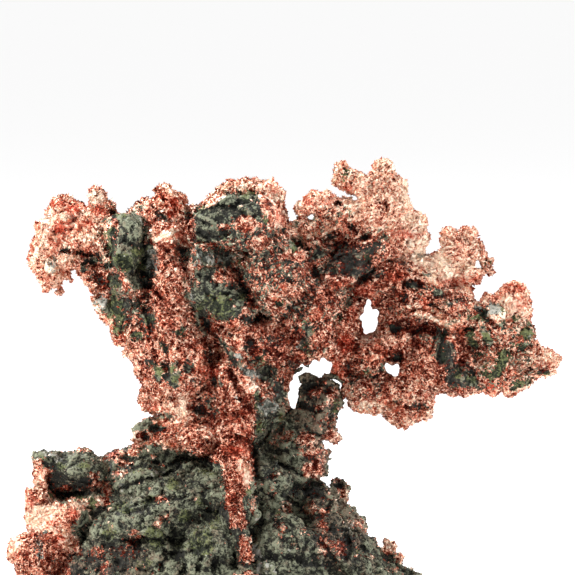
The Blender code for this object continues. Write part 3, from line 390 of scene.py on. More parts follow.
# copper that shows on the rock
copperPatches = [
    (1, [
        (-13.4, 36), (-12.4, 34.6), (-12.4, 33), (-12, 31), (-12, 28), (-11.6, 25), (-11.6, 23.4),
        (-11.4, 22), (-10.8, 19.4), (-10.2, 18.4), (-9.4, 17.9), (-8.6, 17.8), (-7.8, 18.2), (-8, 20.2),
        (-8, 21.6), (-8.2, 23), (-8.2, 24.4), (-7.6, 25), (-7.2, 26), (-6.6, 27), (-6.2, 28), (-6, 29),
        (-6.4, 30), (-6.8, 31.6), (-6.8, 32.6), (-6.6, 33.4), (-7.2, 34), (-7.8, 34.6), (-8, 36),
        (-7.4, 36.8), (-6.4, 37), (-10, 38.4), (-13.6, 38),
    ]),
    (1, [
        (-8.6, 16.4), (-8.8, 15), (-8.8, 12), (-8.4, 11.4), (-6.8, 11.4), (-6.2, 12), (-6.6, 13.2),
        (-7, 14), (-7.2, 15.2), (-7.4, 16.4), (-8, 16.8),
    ]),
    (0.97, [
        (-49.8, 29.8), (-48.2, 29), (-47, 28), (-47.2, 26.6), (-47.4, 25), (-46.4, 24.2), (-45.4, 23.2),
        (-43.8, 23), (-42, 22), (-40.8, 21.8), (-41, 20.2), (-42.4, 20), (-43, 18.8), (-42.4, 17),
        (-41, 16.2), (-40.8, 14), (-41, 13), (-42.4, 13.6), (-43.8, 13), (-44.4, 12.2), (-46, 12),
        (-47, 11.4), (-46, 9), (-57, 8), (-57, 30),
    ]),
    (0.85, [(-18, 33.8), (-16.6, 33), (-14.8, 32.2), (-12.6, 31.8), (-12.4, 36), (-18, 38)]),
    (0.95, [
        (-43, 22), (-43.4, 24), (-40, 23.8), (-37.6, 24.4), (-34.8, 24.2), (-35, 22.8), (-37.8, 22.6),
        (-40, 22),
    ]),
    (0.6, [(-47, 8), (-47, 11.6), (-44.6, 12.6), (-43, 12), (-42.6, 8)]),
    (-24, 81.8, 1.4, 1.2, 0, 0.8), (-24, 78, 2, 1.6, 0, 0.6), (-18.6, 78.6, 0.9, 2.6, 5, 0.8),
    (-14.8, 83.4, 1.2, 0.6, 10, 0.7), (-11, 68.4, 1.2, 1.1, 0, 0.8), (0.4, 66.4, 1.6, 1, 0, 0.8),
    (-4.6, 75.2, 2, 1.4, 0, 0.6), (-5.6, 53.8, 1.8, 1.6, 0, 0.6), (-1.4, 53, 2.6, 1.8, 0, 0.5),
    (-22.6, 51.8, 1, 1.2, 0, 0.5), (-29.6, 56.8, 1.5, 1.6, 0, 0.8), (-33.8, 58.4, 1.4, 0.9, 0, 0.8),
    (3.4, 72.6, 1.2, 1, 0, 0.7), (6.2, 61, 1.2, 1.2, 0, 0.8), (7.2, 56, 2, 1.5, 0, 0.7),
    (8, 65, 1.6, 1.4, 0, 0.6), (8.4, 68, 1.2, 1.2, 0, 0.6), (12, 67.8, 2, 1, 0, 0.7),
    (25, 64.4, 0.8, 1.4, 0, 0.8), (29, 61.4, 2.4, 0.6, -10, 0.6), (22.6, 59.4, 1.1, 0.7, 0, 0.7),
    (24, 57, 0.9, 0.9, 0, 0.7), (15.4, 51, 1.6, 0.9, 0, 0.6), (17, 49, 1.4, 1.6, 0, 0.4),
    (16, 46.4, 2, 1.4, 0, 0.6), (42.4, 60.6, 1.2, 0.8, 0, 0.7), (42.8, 57.6, 0.8, 1, 0, 0.6),
    (-38, 13, 1.6, 1, 0, 0.4), (-36, 10, 1.2, 1.8, -10, 0.4), (-31.4, 13.4, 2, 1, 0, 0.3),
    (-29.2, 37, 1, 0.9, 0, 0.9), (-30.2, 33.6, 1.1, 0.9, 0, 0.9), (-48.6, 29.8, 2.2, 1, -20, 0.8),
    (8.6, 14.6, 2.2, 1.4, 0, 0.4), (11.4, 14, 1.2, 1.6, 0, 0.5), (7, 31.6, 1.6, 1, 0, 0.5),
    (9, 39.6, 1.6, 1.2, 0, 0.4), (-3.4, 45, 1.6, 1.8, 0, 0.6), (9.8, 44.6, 1.2, 2, 0, 0.55),
    (-0.8, 18.4, 1, 3.4, 5, 0.4), (-22.6, 50, 1.8, 0.8, 10, 0.5), (-1.6, 63.4, 1.8, 2.6, 0, 0.55),
    (2.4, 65.2, 1.6, 1, 0, 0.6), (0.4, 47, 0.8, 1.6, 0, 0.5), (-34.0, 33.0, 2.6, 1.0, 15, 0.8),
    (-32.4, 31.4, 1.6, 0.8, -10, 0.7), (-35.5, 26.0, 1.1, 1.6, 0, 0.85), (-36.4, 23.8, 1.6, 0.9, 0, 0.85),
    (-38.2, 28.6, 1.2, 1.2, 0, 0.7), (-37.2, 27.0, 1.8, 0.6, 10, 0.75), (-44.2, 26.2, 1.6, 0.7, 10, 0.7),
    (-32.6, 14.0, 2.4, 0.5, 0, 0.5), (-37.0, 13.8, 1.4, 0.8, 0, 0.5), (-30.6, 15.4, 1.4, 0.7, 25, 0.7),
    (-29.8, 17.0, 1.0, 1.0, 0, 0.7), (-33, 29.2, 1.4, 0.8, 30, 0.75), (-25.2, 19.0, 0.8, 0.6, 20, 0.85),
    (-24.4, 20.4, 1.6, 0.5, 20, 0.7), (-24.6, 24.0, 1.4, 0.7, 0, 0.7), (-30.4, 35.6, 1.4, 1.0, 0, 0.95),
    (-16, 35, 2.6, 1.4, 0, 0.7), (-15, 33.4, 2.0, 1.4, 0, 0.7), (4.4, 36.0, 2.4, 1.4, 0, 0.75),
    (0.4, 36.6, 2.0, 1.2, 0, 0.65), (5.6, 33.4, 2.4, 0.9, 0, 0.7), (5.6, 30.0, 2.2, 1.8, 0, 0.75),
    (9.8, 36.6, 1.7, 1.4, -25, 0.95), (7.6, 33.6, 1.2, 0.8, 0, 0.7), (7.2, 42.6, 1.0, 0.8, 0, 0.6),
    (6.4, 45.6, 1.6, 0.8, 0, 0.6), (3.4, 34.0, 1.0, 0.8, 0, 0.5), (-2.0, 35.4, 1.0, 0.8, 0, 0.5),
    (0.6, 22.4, 1.5, 1, -45, 0.61), (5.2, 22, 1.6, 1.2, 0, 0.54), (7.6, 21.6, 1.4, 0.8, -20, 0.54),
    (7.8, 18.8, 1, 1.6, 20, 0.5), (7.6, 13.8, 1.2, 0.9, 0, 0.43), (11.2, 15, 0.6, 0.8, 0, 0.58),
    (12.2, 25.4, 1, 1.6, -20, 0.65), (10.8, 28.2, 1.4, 0.8, 0, 0.5), (15, 19.2, 1.8, 1, 0, 0.5),
    (-0.6, 18.2, 1, 2, -10, 0.43), (3.6, 17.6, 1.2, 1, -40, 0.43), (2, 15, 1, 0.8, -20, 0.43),
    (21.0, 14.6, 1.8, 1.6, 0, 0.98), (23.4, 12.4, 1.0, 1.2, 0, 0.98), (21.6, 10, 1.6, 0.5, 0, 0.61),
    (17.4, 12.6, 1.2, 0.6, 0, 0.5), (-2, 28.6, 2, 0.6, 20, 0.43), (-6.2, 23, 0.6, 1.6, 0, 0.7),
    (2.6, 26, 1.2, 0.8, 0, 0.36), (-2, 25.4, 0.6, 0.6, 0, 0.43), (-13.2, 68.6, 1.2, 1.1, 0, 0.85),
    (-12.2, 78.9, 1.0, 0.5, 0, 0.9), (-9.4, 78.8, 0.5, 0.5, 0, 0.85), (-7.2, 78.8, 1.6, 1.4, 0, 0.6),
    (-19.2, 76.4, 0.9, 1.4, 0, 0.7), (-31.8, 67.8, 0.6, 1.2, 30, 0.8), (-27.2, 37.2, 0.7, 0.7, 0, 0.75),
    (-25.6, 36.8, 0.8, 0.5, 0, 0.6), (-49.4, 31.4, 1.0, 0.9, 0, 0.85), (-40.6, 34.2, 1.4, 0.5, 0, 0.8),
    (-44.0, 34.2, 0.6, 0.5, 0, 0.65), (5.6, 71.2, 2.4, 0.5, 20, 0.55), (11.6, 70.6, 0.6, 0.5, 0, 0.4),
    (19.2, 71.0, 1.4, 0.9, 0, 0.6), (15.4, 70.6, 0.6, 0.5, 0, 0.35), (37, 50.4, 1.0, 0.6, -20, 0.5),
]
# painted light: metal blown pale by the light, and rock lit pale; the painted shade, where things lie in shadow,
# follows further on
paintedLightPatches = [
    (0.6, [
        (2, 86), (6, 84.6), (12, 92), (22, 94), (26, 88), (30, 76), (34, 70), (42, 74), (36, 80), (28, 76),
        (20, 77), (14, 80), (8, 82), (4, 82),
    ]),
    (0.5, [(-52, 66), (-52, 78), (-44, 86), (-36, 89), (-35, 82), (-37, 76), (-40, 74.6), (-44, 66)]),
    (0.6, [(-20, 82.4), (-12, 86), (-6, 89), (1, 87), (0, 78), (-3, 80), (-4.6, 86), (-10, 86.4)]),
    (0.9, [
        (-51, 73), (-50, 77), (-48.6, 80.6), (-47.2, 82.6), (-46.6, 82), (-45.6, 81.6), (-44, 82),
        (-42, 81.6), (-40.4, 82.4), (-38.4, 82), (-37.6, 80.6), (-40, 80.6), (-43, 80), (-45.6, 79.8),
        (-46.6, 77.6), (-47, 75), (-47.6, 73.4), (-50, 70.6), (-51.4, 71),
    ]),
    (-37.6, 84.8, 2.0, 2.4, 0, 1), (-43.6, 84.4, 2.4, 0.6, 0, 0.8), (-39.4, 77.8, 4.0, 0.8, 0, 0.5),
    (-49.6, 20.6, 2.4, 3.4, 0, 1), (-49.6, 28.4, 1.0, 1.8, 0, 0.9), (-47, 21.6, 3.0, 2.4, 0, 0.7),
    (-45, 18.2, 3.0, 1.0, 0, 0.7), (-41, 23, 2.4, 0.8, 0, 0.8), (-53.8, 15, 1.4, 1.6, 0, 0.8),
    (-43, 15.6, 1.6, 1.2, 0, 0.5), (20, 91, 2.4, 1.4, 0, 0.8), (16.6, 87.4, 5, 1.2, 0, 0.5),
    (24.6, 85, 2.0, 3.4, 0, 0.85), (25.6, 79, 3.0, 3.0, 0, 0.85), (27, 74.6, 3.0, 3.4, 0, 1),
    (27.6, 71.6, 2.4, 1.8, -20, 0.9), (31.4, 70.4, 3.4, 3.0, -20, 1), (35.4, 70.4, 4.0, 2.2, 0, 0.7),
    (20.4, 79.4, 2.4, 2.4, 0, 0.5), (36, 75.6, 3.0, 2.4, 0, 0.45), (3, 83, 1.2, 1.0, 0, 0.9),
    (8.2, 85, 1.8, 0.6, 0, 0.7), (12.6, 88, 2.2, 1.6, -35, 0.5), (45, 63, 2.6, 3.0, 0, 0.8),
    (47.6, 61, 1.6, 3.4, 0, 0.8), (45.4, 60.8, 1.6, 1.0, -30, 0.8), (52.6, 52.8, 2.4, 1.4, 0, 0.6),
    (-7.4, 87, 3.0, 0.8, 10, 1), (-2.4, 84.8, 1.0, 1.4, 0, 0.9), (-2.4, 82.4, 0.6, 0.9, 0, 1),
    (-1.4, 79.0, 1.0, 0.8, -20, 1), (-22.4, 85.6, 2.2, 0.7, 0, 0.6), (-23.6, 77.4, 2.8, 0.9, 20, 1),
    (-20.6, 81, 2.0, 0.7, 15, 0.8), (-22.6, 76.2, 2.4, 0.8, 0, 0.7), (-21, 42.6, 2.4, 3.6, 15, 0.8),
    (-24.6, 43.4, 2.0, 1.6, 0, 0.6), (-9.2, 38.4, 2.4, 1.4, 0, 0.6), (-15.4, 37.2, 2.2, 0.9, 0, 0.5),
    (-6.4, 47, 1.4, 0.9, 0, 0.8), (-7.4, 28.6, 1.3, 1.8, 0, 1), (-8.6, 30.6, 1.6, 0.8, 0, 0.6),
    (34.2, 57, 1.0, 0.9, 0, 0.8), (28.4, 61.4, 3.6, 0.5, -12, 0.5), (33, 59.8, 1.8, 0.5, -20, 0.8),
    (17.6, 53.4, 1.6, 1.2, 0, 0.5), (18.2, 42.6, 2.6, 0.5, 0, 0.8), (27.6, 40.6, 1.6, 0.5, 0, 0.7),
    # light on ledges and rims
    (-19.4, 81.8, 1.2, 1.6, 0, 0.9), (-19.6, 72, 1, 3, 5, 0.5), (-26.6, 71.8, 1, 1.6, 0, 0.9),
    (-12, 72.6, 2.6, 1, 0, 0.8), (-16, 57.6, 0.9, 2.6, 25, 0.7), (-44, 78.4, 3, 3, 0, 0.5),
    (7, 76, 3, 1.2, 0, 0.6), (17, 56.6, 1.8, 1.4, 0, 0.8), (24.8, 53, 1, 1, 0, 0.8),
    (40.6, 63.6, 2.4, 1, 10, 0.8), (28, 72.8, 1.8, 0.8, 0, 1), (47.6, 50.6, 1.4, 1.2, 0, 0.8),
    (-3, 43, 1.4, 1.2, 0, 0.7), (-20.4, 57.4, 0.7, 2.4, 15, 0.5), (-17, 65, 0.8, 2, 15, 0.5),
    (-40.8, 17.4, 1.4, 1.2, 0, 0.8), (-5.4, 17, 0.7, 2, 0, 0.8), (-5.4, 13, 0.8, 0.8, 0, 0.7),
    (-6, 74, 2.4, 1.6, 0, 0.5), (-47, 24, 1, 1, 0, 0.6), (-19.8, 81.6, 1.2, 2, 0, 0.6),
    (-26.8, 71.6, 1.2, 1.8, 0, 0.7), (-11, 72.6, 3, 1.2, -5, 0.6), (-15.6, 57, 1, 3.6, 25, 0.5),
    (-13, 53, 1, 2, 20, 0.4), (-17.6, 44.6, 1.2, 2, 0, 0.5), (-3, 42.4, 1.8, 1.8, 0, 0.6),
    (-25.6, 40, 2, 0.8, 0, 0.6), (-42, 81, 4, 3, 20, 0.4), (9, 77.8, 7, 2.4, 3, 0.4),
    (3, 79.4, 2, 2, 0, 0.4), (26.6, 72.6, 3, 0.9, -5, 0.9), (36, 66.6, 3, 2, -20, 0.5),
    (41.6, 63, 2.4, 1.4, 10, 0.6), (15.6, 56.6, 3.2, 1.6, 0, 0.55), (17.6, 58.4, 1.6, 1.4, 0, 0.5),
    (25, 53.2, 1.2, 1.2, 0, 0.6), (27, 58, 2.4, 0.8, -10, 0.4), (47.4, 50.8, 1.4, 1.2, 0, 0.6),
    (51.4, 55, 1, 0.8, 0, 0.6), (-25, 30.4, 3, 1.4, 10, 0.4), (-23, 33, 4, 1, 0, 0.4),
    (-33.6, 26.8, 2.6, 1, 10, 0.6), (-41.6, 17, 1.8, 1.4, 0, 0.6), (-48.6, 24.4, 1, 1.2, 0, 0.5),
    (-47.6, 32, 1.6, 0.8, -20, 0.5), (-5.6, 16.4, 0.7, 2.6, 0, 0.7), (-14, 10.4, 2, 0.8, 0, 0.4),
    (1.6, 22.8, 1.2, 1.2, 0, 0.6), (8, 48, 3, 1.4, 0, 0.4), (-6.6, 49.2, 1.4, 0.6, 0, 0.6),
    (-3, 38, 2, 2, 0, 0.35), (-2.6, 33, 1.6, 1.6, 0, 0.35),
    # painted light on the rock
    (-30.6, 78.6, 2.0, 2.6, 20, 0.5), (-32.2, 74, 1.5, 1.6, 0, 0.6), (-29.0, 77.4, 1.4, 1.0, 0, 0.5),
    (-10, 84.6, 3.0, 0.7, 12, 0.4), (-15, 80, 1.8, 0.5, -15, 0.6), (-26.4, 29.4, 3.4, 0.9, 12, 0.5),
    (-24.8, 33.4, 2.4, 0.8, 0, 0.4), (-42, 32.6, 2.6, 0.9, 20, 0.4), (12.4, 22.6, 1.8, 2.0, -30, 0.6),
    (14.2, 21.4, 1.0, 1.8, -30, 0.5), (-30.4, 24.6, 2.6, 1.0, 0, 0.3), (-12.4, 10, 2.4, 1.2, 0, 0.4),
    (-22.4, 11, 1.8, 1.4, 0, 0.3), (8.6, 71.4, 0.9, 1.0, 0, 0.5), (4.8, 59.4, 0.8, 0.8, 0, 0.5),
    (5, 55, 0.7, 1.3, 0, 0.5),
]
redPatches = [   # smooth metal of a vivid red
    (-45.2, 83.6, 1.2, 0.7, 0, 0.9), (-41.7, 82.4, 1.6, 0.9, 10, 0.9), (-44.6, 78.3, 1.2, 0.7, -10, 1),
    (-44.4, 77.1, 0.8, 0.7, 0, 0.6), (-39.2, 79.3, 0.8, 0.5, 0, 0.8), (-41.8, 75.4, 1.2, 0.6, 0, 0.5),
    (-45.8, 74.2, 0.8, 1.0, 0, 0.5), (-46.8, 68.4, 0.8, 0.5, 0, 0.7), (-36.8, 81.8, 0.9, 1.0, 0, 0.6),
    (-22.4, 83.6, 1.6, 0.9, -15, 0.7), (-22.8, 80.8, 0.9, 0.7, 0, 0.6), (-3, 86.8, 1.6, 0.5, -15, 0.7),
    (-0.8, 80.4, 0.7, 1.2, 30, 0.8), (5, 83.8, 1.0, 1.0, 0, 0.5), (8.4, 83.8, 0.8, 0.5, 0, 0.7),
    (12.6, 86, 1.2, 0.4, 0, 0.6), (24.4, 77.1, 2.0, 0.5, -8, 0.9), (36.2, 67.9, 3.0, 0.35, 5, 0.7),
    (46.6, 62.8, 0.9, 0.5, 0, 1), (48, 63.4, 0.6, 0.7, 0, 0.7), (47.8, 66.2, 0.6, 0.8, 0, 0.6),
    (41.8, 46.4, 1.2, 1.0, 0, 0.7), (12.4, 55.2, 1.8, 1.8, 0, 0.7), (11.0, 48.8, 2.2, 0.6, 0, 0.8),
    (10.2, 51, 0.8, 0.9, 0, 0.6), (17.8, 63.2, 0.9, 0.7, 0, 0.6), (16, 66, 2.4, 0.8, 10, 0.5),
    (22.4, 69, 1.6, 1.2, 0, 0.35), (-15, 49.6, 1.8, 1.0, 0, 0.6), (-9.4, 33.8, 2.0, 0.8, 0, 0.5),
    (-30, 35, 1.4, 0.5, 0, 0.8), (-42, 21.4, 1.0, 1.0, 0, 0.6), (-50.6, 23.6, 0.8, 1.0, 0, 0.5),
    (-46.8, 19.4, 0.8, 0.6, 0, 0.6), (-44.8, 16.2, 1.0, 0.6, 0, 0.5), (-26, 42.4, 1.8, 0.6, 0, 0.5),
    (-36.4, 67.6, 0.6, 0.6, 0, 0.9), (13.4, 62, 0.9, 1.4, 0, 0.4), (28.4, 63.6, 0.5, 0.4, 0, 0.9),
]
rustPatches = [   # rock stained a warm brown, with fine specks of dark metal
    (0.8, [
        (2.4, 42), (2.8, 50), (9, 50), (12, 46), (12, 42), (11, 36), (9, 30), (14, 24), (17, 17), (13, 11),
        (8, 11), (6, 16), (5, 22), (4, 28), (4, 34), (2, 40), (-3, 43), (0, 44),
    ]),
    (0.7, [(-48, 8), (-47.4, 12.4), (-38, 15), (-27, 14.6), (-26, 8)]),
    (0.8, [(-46.4, 28), (-42, 28), (-37, 27.6), (-38, 24.6), (-44, 25.6)]),
    (0.8, [(8, 74), (17, 77), (21, 77), (21, 67), (8, 66.6)]),
    (0.7, [(-39, 70), (-32, 70), (-30, 65.6), (-38, 63)]),
    (0, 54, 7, 3.4, 0, 0.7), (9, 61, 3, 5, 0, 0.6), (33.6, 51.6, 3.4, 6.4, 0, 0.9),
    (-22.8, 49.4, 2, 2.4, 0, 0.4), (-17, 40, 3, 4, 0, 0.6), (-36, 68, 3, 2, 0, 0.6),
]
# where it is lit, foil takes more of the painted highlight
foilPatches = [   # metal that is crumpled like foil, with broad faces
    (-45.6, 79.4, 4.6, 4.2, 0, 1), (-38, 84.4, 2, 3, 0, 1), (-49, 21.4, 3, 3.4, 0, 0.8),
    (-22.6, 83, 3, 2, 0, 0.8), (-2.4, 84, 2, 3.4, 0, 0.9), (46, 64.4, 3, 3, 0, 0.7),
    (41.6, 46.2, 2, 1.4, 0, 1), (34.4, 57, 1.4, 1.2, 0, 1), (18, 53, 2.4, 1.8, 0, 0.9),
    (-7.6, 28.6, 1.6, 2, 0, 0.6), (-23.4, 77.2, 3, 1.4, 20, 0.9), (-9, 38.6, 3, 3, 0, 0.5),
    (-49.4, 77, 2.4, 4.4, 0, 0.9), (28, 73, 3, 3, 0, 0.4), (4.4, 83.8, 2, 1.4, 0, 0.7),
    (22.4, 69, 2, 1.4, 0, 0.8), (-10, 34, 2.4, 2, 0, 0.5), (36, 67.8, 3, 1, 0, 0.6),
]
# painted shade, where the specimen lies in shadow
paintedShadePatches = [
    (0.5, [(-26, 75), (-20.6, 75.6), (-18.6, 66), (-15, 57), (-19, 54), (-23, 58), (-25, 66)]),
    (0.9, [(-12.4, 25.6), (-7.6, 25), (-7.8, 18), (-6, 11), (-9.2, 11), (-11.4, 18)]),
    (0.45, [
        (-27, 76), (-20, 76), (-19, 84), (-2, 84), (2, 76), (12, 78), (20, 78), (24, 70), (28, 67),
        (38, 66), (36, 44), (12, 47), (6, 52), (-5, 34), (-17, 34), (-19, 46), (-26, 52), (-34, 58),
        (-36, 66), (-28, 68),
    ]),
    (0.85, [
        (-12.8, 34), (-12.2, 25), (-11.6, 18), (-8.8, 11), (-6, 11), (-7.4, 22), (-7.8, 26), (-9, 27),
        (-10, 31), (-8, 34),
    ]),
    (0.45, [(0, 66), (8, 70), (20, 71), (26, 69), (20, 66), (16, 62), (12, 58), (2, 58)]),
    (0.9, [
        (-48.2, 28.6), (-46.4, 28.8), (-44.8, 27.4), (-42.6, 26.2), (-40.4, 25.8), (-38.6, 26.4),
        (-37.4, 28), (-36, 29.6), (-34.4, 29.6), (-36, 27.4), (-38, 25.6), (-41, 24.9), (-45, 25),
        (-47.4, 26),
    ]),
    (0.4, [
        (-46.4, 28.8), (-44, 29.2), (-41, 29), (-38, 29.6), (-37.4, 28), (-38.6, 26.4), (-40.4, 25.8),
        (-42.6, 26.2), (-44.8, 27.4),
    ]),
    (0.5, [(-53.4, 15), (-51, 17), (-48, 16.6), (-46, 17.4), (-44, 16), (-45.6, 13), (-47, 9), (-54, 9)]),
    (0.5, [(-18, 37), (-13, 35.4), (-12.4, 33), (-14, 31.6), (-18.4, 33.6)]),
    (-48.2, 79.1, 0.9, 0.5, 0, 0.7), (-49.2, 71.4, 0.9, 0.9, 0, 0.7), (-48.4, 69.4, 0.8, 0.8, 0, 0.7),
    (-44.6, 84.2, 0.6, 0.5, 0, 0.9), (-38.6, 70.4, 2.6, 2.4, 0, 0.4), (-29.6, 71.6, 2.4, 2.0, 0, 0.5),
    (-27.4, 67.6, 1.2, 1.6, 0, 0.9), (-28.6, 75, 1.6, 0.8, 0, 0.8), (-29.8, 62.2, 1.1, 1.3, 0, 0.8),
    (-32.6, 58.2, 1.2, 1.4, 0, 0.4), (-22, 49.6, 1.8, 2.2, 0, 0.55), (-25.4, 65.4, 1.2, 0.7, -35, 1),
    (-19.2, 79.2, 1.0, 1.6, 0, 0.7), (-14, 77.3, 2.6, 1.2, 0, 0.9), (-17, 78.4, 1.2, 1.4, 0, 0.5),
    (-12.4, 65.4, 3.0, 3.6, 0, 0.35), (-11.4, 68.2, 1.0, 1.6, 0, 0.6), (-15.2, 53, 1.0, 3.0, -4, 1),
    (-16.2, 59.2, 0.8, 1.2, 10, 0.7), (-6.4, 54.4, 1.8, 1.8, 0, 0.9), (-6.6, 59.8, 2.0, 0.9, 0, 0.6),
    (-8.9, 46, 0.9, 3.4, 25, 1), (-21.8, 44.0, 1.0, 1.2, 0, 0.9), (-16, 41.4, 2.6, 2.0, 0, 0.5),
    (-14, 35, 1.6, 1.4, 0, 0.4), (-9.7, 36.5, 2.2, 0.5, 0, 1), (-6.8, 35.4, 0.8, 1.4, 0, 1),
    (-28.4, 36.9, 1.0, 0.8, 0, 1), (-25.4, 38, 1.4, 0.6, 0, 0.8), (-10.8, 23.6, 0.7, 1.6, 10, 0.5),
    (-13.6, 21.6, 2.4, 1.6, 0, 0.75), (-6, 31.6, 0.9, 4.2, 0, 0.8), (0.2, 52, 4.0, 1.4, 0, 0.6),
    (7.6, 56, 1.4, 2.2, 0, 0.7), (6, 69.6, 1.0, 1.2, 0, 1), (9.4, 65, 2.0, 1.2, 0, 0.5),
    (10.4, 76.4, 2.8, 1.0, 20, 0.9), (10, 74.8, 1.6, 0.6, 0, 0.8), (14, 71.8, 5, 3.6, 0, 0.8),
    (15.9, 76.2, 1.4, 0.5, 15, 1), (18.4, 75, 2.2, 1.2, 40, 0.7), (17.8, 70, 1.6, 1.4, 0, 0.8),
    (22.2, 69.2, 2.0, 1.4, 0, 0.7), (20, 67.4, 4, 1.4, 0, 0.5), (19.6, 83.2, 1.4, 0.8, 0, 0.6),
    (11.2, 83, 1.0, 0.5, -40, 0.9), (13.3, 78.8, 1.0, 0.5, -40, 0.9), (4.4, 72.8, 2.0, 0.8, 0, 0.5),
    (12.4, 50.6, 1.8, 1.3, 0, 0.8), (14.4, 54.6, 0.7, 1.0, -20, 0.8), (22.8, 52.6, 1.3, 1.0, 0, 1),
    (22.8, 58.4, 1.8, 1.6, 0, 0.8), (24.2, 63.8, 0.9, 1.2, 0, 0.8), (25.4, 61.2, 1.4, 0.5, 50, 0.8),
    (26.4, 66.8, 1.0, 0.7, 0, 0.9), (30.6, 65, 1.2, 0.7, 0, 0.6),
    (0.8, [
        (24, 60), (26, 60.3), (28, 60), (30, 59.2), (31.6, 58.6), (31, 57.4), (29.4, 56.8), (28, 56.4),
        (26, 56.4), (24.4, 57.4),
    ]),
    (32, 54, 1.8, 4.0, 0, 0.6), (35.6, 49.4, 3.0, 2.4, 0, 0.5), (31.6, 57.6, 1.2, 1.2, 0, 0.7),
    (39.8, 61.4, 0.9, 0.7, 0, 0.8), (40.8, 59.8, 1.2, 0.6, -30, 0.6), (37, 58, 1.0, 0.4, 0, 0.8),
    (38.2, 54.8, 1.0, 0.7, 0, 0.4), (41, 55.4, 0.9, 1.2, 0, 0.5), (45.2, 65.6, 0.8, 0.9, 0, 0.8),
    (42.6, 58.1, 0.8, 0.4, 0, 0.8), (48, 54.6, 2.0, 0.8, 0, 0.7), (52, 49.8, 0.7, 0.4, 0, 1),
    (26.8, 42.9, 2.4, 0.8, 0, 0.6), (18.8, 46.2, 1.0, 1.4, 0, 0.5), (6, 46, 3.4, 1.8, 0, 0.45),
    (34.2, 73.8, 0.6, 0.6, 0, 0.6), (5.8, 26, 2.2, 1.8, 0, 0.9), (2.4, 26.6, 1.4, 1.1, 0, 0.6),
    (12.8, 14.8, 1.6, 2.2, 0, 0.9), (-2.8, 12.9, 1.2, 0.9, 0, 0.7), (-3.8, 29.4, 1.6, 1.6, 0, 0.7),
    (8, 12.4, 5.0, 3.4, 0, 0.3), (4.6, 16.6, 4.0, 2.4, 0, 0.25), (-41, 10.6, 4.4, 1.8, 0, 0.4),
    (-48.4, 13.4, 1.2, 1.4, 0, 0.4), (-51, 10.4, 2.6, 0.8, 0, 0.6), (-46.6, 14, 0.8, 1.2, 0, 0.7),
    (-32, 13.2, 3.4, 0.8, 0, 0.5), (10.8, 26.6, 1.2, 0.6, 0, 0.8), (-5.2, 35.4, 1.2, 2.0, 0, 0.3),
    (11, 17.4, 1.6, 0.9, 0, 0.5), (-38.4, 68.6, 1.6, 2, 0, 1.2), (-33.4, 69, 1.5, 2.6, 0, 1.2),
    (-25.4, 63.4, 1, 1.2, 0, 1.2), (-22.4, 60, 0.9, 2.6, 0, 1), (-30.6, 58, 1.2, 3.6, 15, 0.9),
    (-28, 51, 1.4, 3, 0, 0.8), (-22, 48, 1.4, 3.4, 0, 0.8), (-8.6, 60.4, 1.6, 1.2, 0, 1.2),
    (-6, 58, 2, 1.4, -30, 0.9), (-3, 53.4, 2.4, 1.6, 0, 1.2), (8, 57, 1.6, 1.8, 0, 1.2),
    (7.6, 64, 1.6, 2.4, 0, 1.2), (17.6, 74.4, 2.6, 1.4, 15, 1.2), (12.6, 70, 2.6, 2, 0, 0.8),
    (20.6, 69, 1.8, 1.2, -40, 1.2), (4, 71.6, 2.4, 1.6, 0, 0.9), (0, 67.6, 2.4, 1.4, 0, 0.8),
    (32.6, 52.6, 0.9, 2.6, -10, 1.2), (33.4, 48, 1.4, 1.6, 0, 1.2), (31, 56.6, 0.8, 1.4, 0, 0.9),
    (26, 64.4, 1.4, 1.8, 0, 0.9), (-10.6, 44.6, 1.2, 1.8, 0, 1.1), (-12, 37.4, 1, 2.6, 0, 0.9),
    (-17, 36, 1.6, 1.6, 0, 0.9), (-41.6, 26.8, 4.2, 1.1, 0, 1.2), (-49, 30.2, 1.2, 1.2, 0, 1.1),
    (-30.6, 13.4, 3, 0.9, 0, 1), (-43, 10, 3, 1.4, 0, 1.1), (-37, 12.6, 2, 1.6, 0, 0.9),
    (10.4, 14.4, 1.4, 1.6, 20, 1.1), (-14.4, 31.6, 1.6, 1, 0, 1), (5.4, 37, 1.2, 1.2, 0, 1.2),
    (-34, 33, 1, 1, 0, 1), (-31.4, 22.6, 1.2, 1.2, 0, 0.7), (-42, 20, 1.2, 1.2, 0, 0.6),
    (-36, 68, 3.2, 2, -10, 0.85), (-35, 77, 1.2, 1.2, 0, 0.5), (-35, 73, 1, 0.8, 0, 0.6),
    (-30.4, 73, 0.8, 1.8, 0, 0.5), (-30, 60, 1, 1, 0, 0.7), (-29.4, 57.4, 1.6, 1.6, 0, 0.6),
    (-27, 53, 1.2, 2.4, 10, 0.5), (-25.6, 63, 0.9, 2, 0, 0.6), (-22.2, 62, 0.8, 4, 0, 0.6),
    (-22, 54, 0.9, 2.4, 0, 0.4), (-9.6, 60.4, 2, 1, -40, 0.7), (-10, 57, 1.4, 1, 0, 0.7),
    (-6, 57.4, 1.6, 1, -30, 0.6), (-2, 65.6, 1.2, 1, 0, 0.7), (-2, 54.6, 3.4, 2.6, 0, 0.75),
    (-7.4, 46.6, 2, 0.9, 20, 0.8), (-12, 44, 2.2, 3.4, 0, 0.5), (-12.4, 48.6, 0.8, 1.6, 0, 0.5),
    (-24, 78.2, 2, 1.2, 20, 0.5), (-15, 83.8, 1.6, 0.6, 20, 0.6), (-9.4, 79.6, 3.6, 0.7, 12, 0.6),
    (-4, 81.6, 1, 3, 10, 0.5), (-4, 87, 1.6, 0.6, 0, 0.4), (5.4, 83, 1.2, 1.2, 0, 0.8),
    (11, 82.6, 1.4, 0.7, 0, 0.6), (15.6, 85.4, 1, 1, 0, 0.5), (19.6, 83, 2.6, 1.2, 0, 0.5),
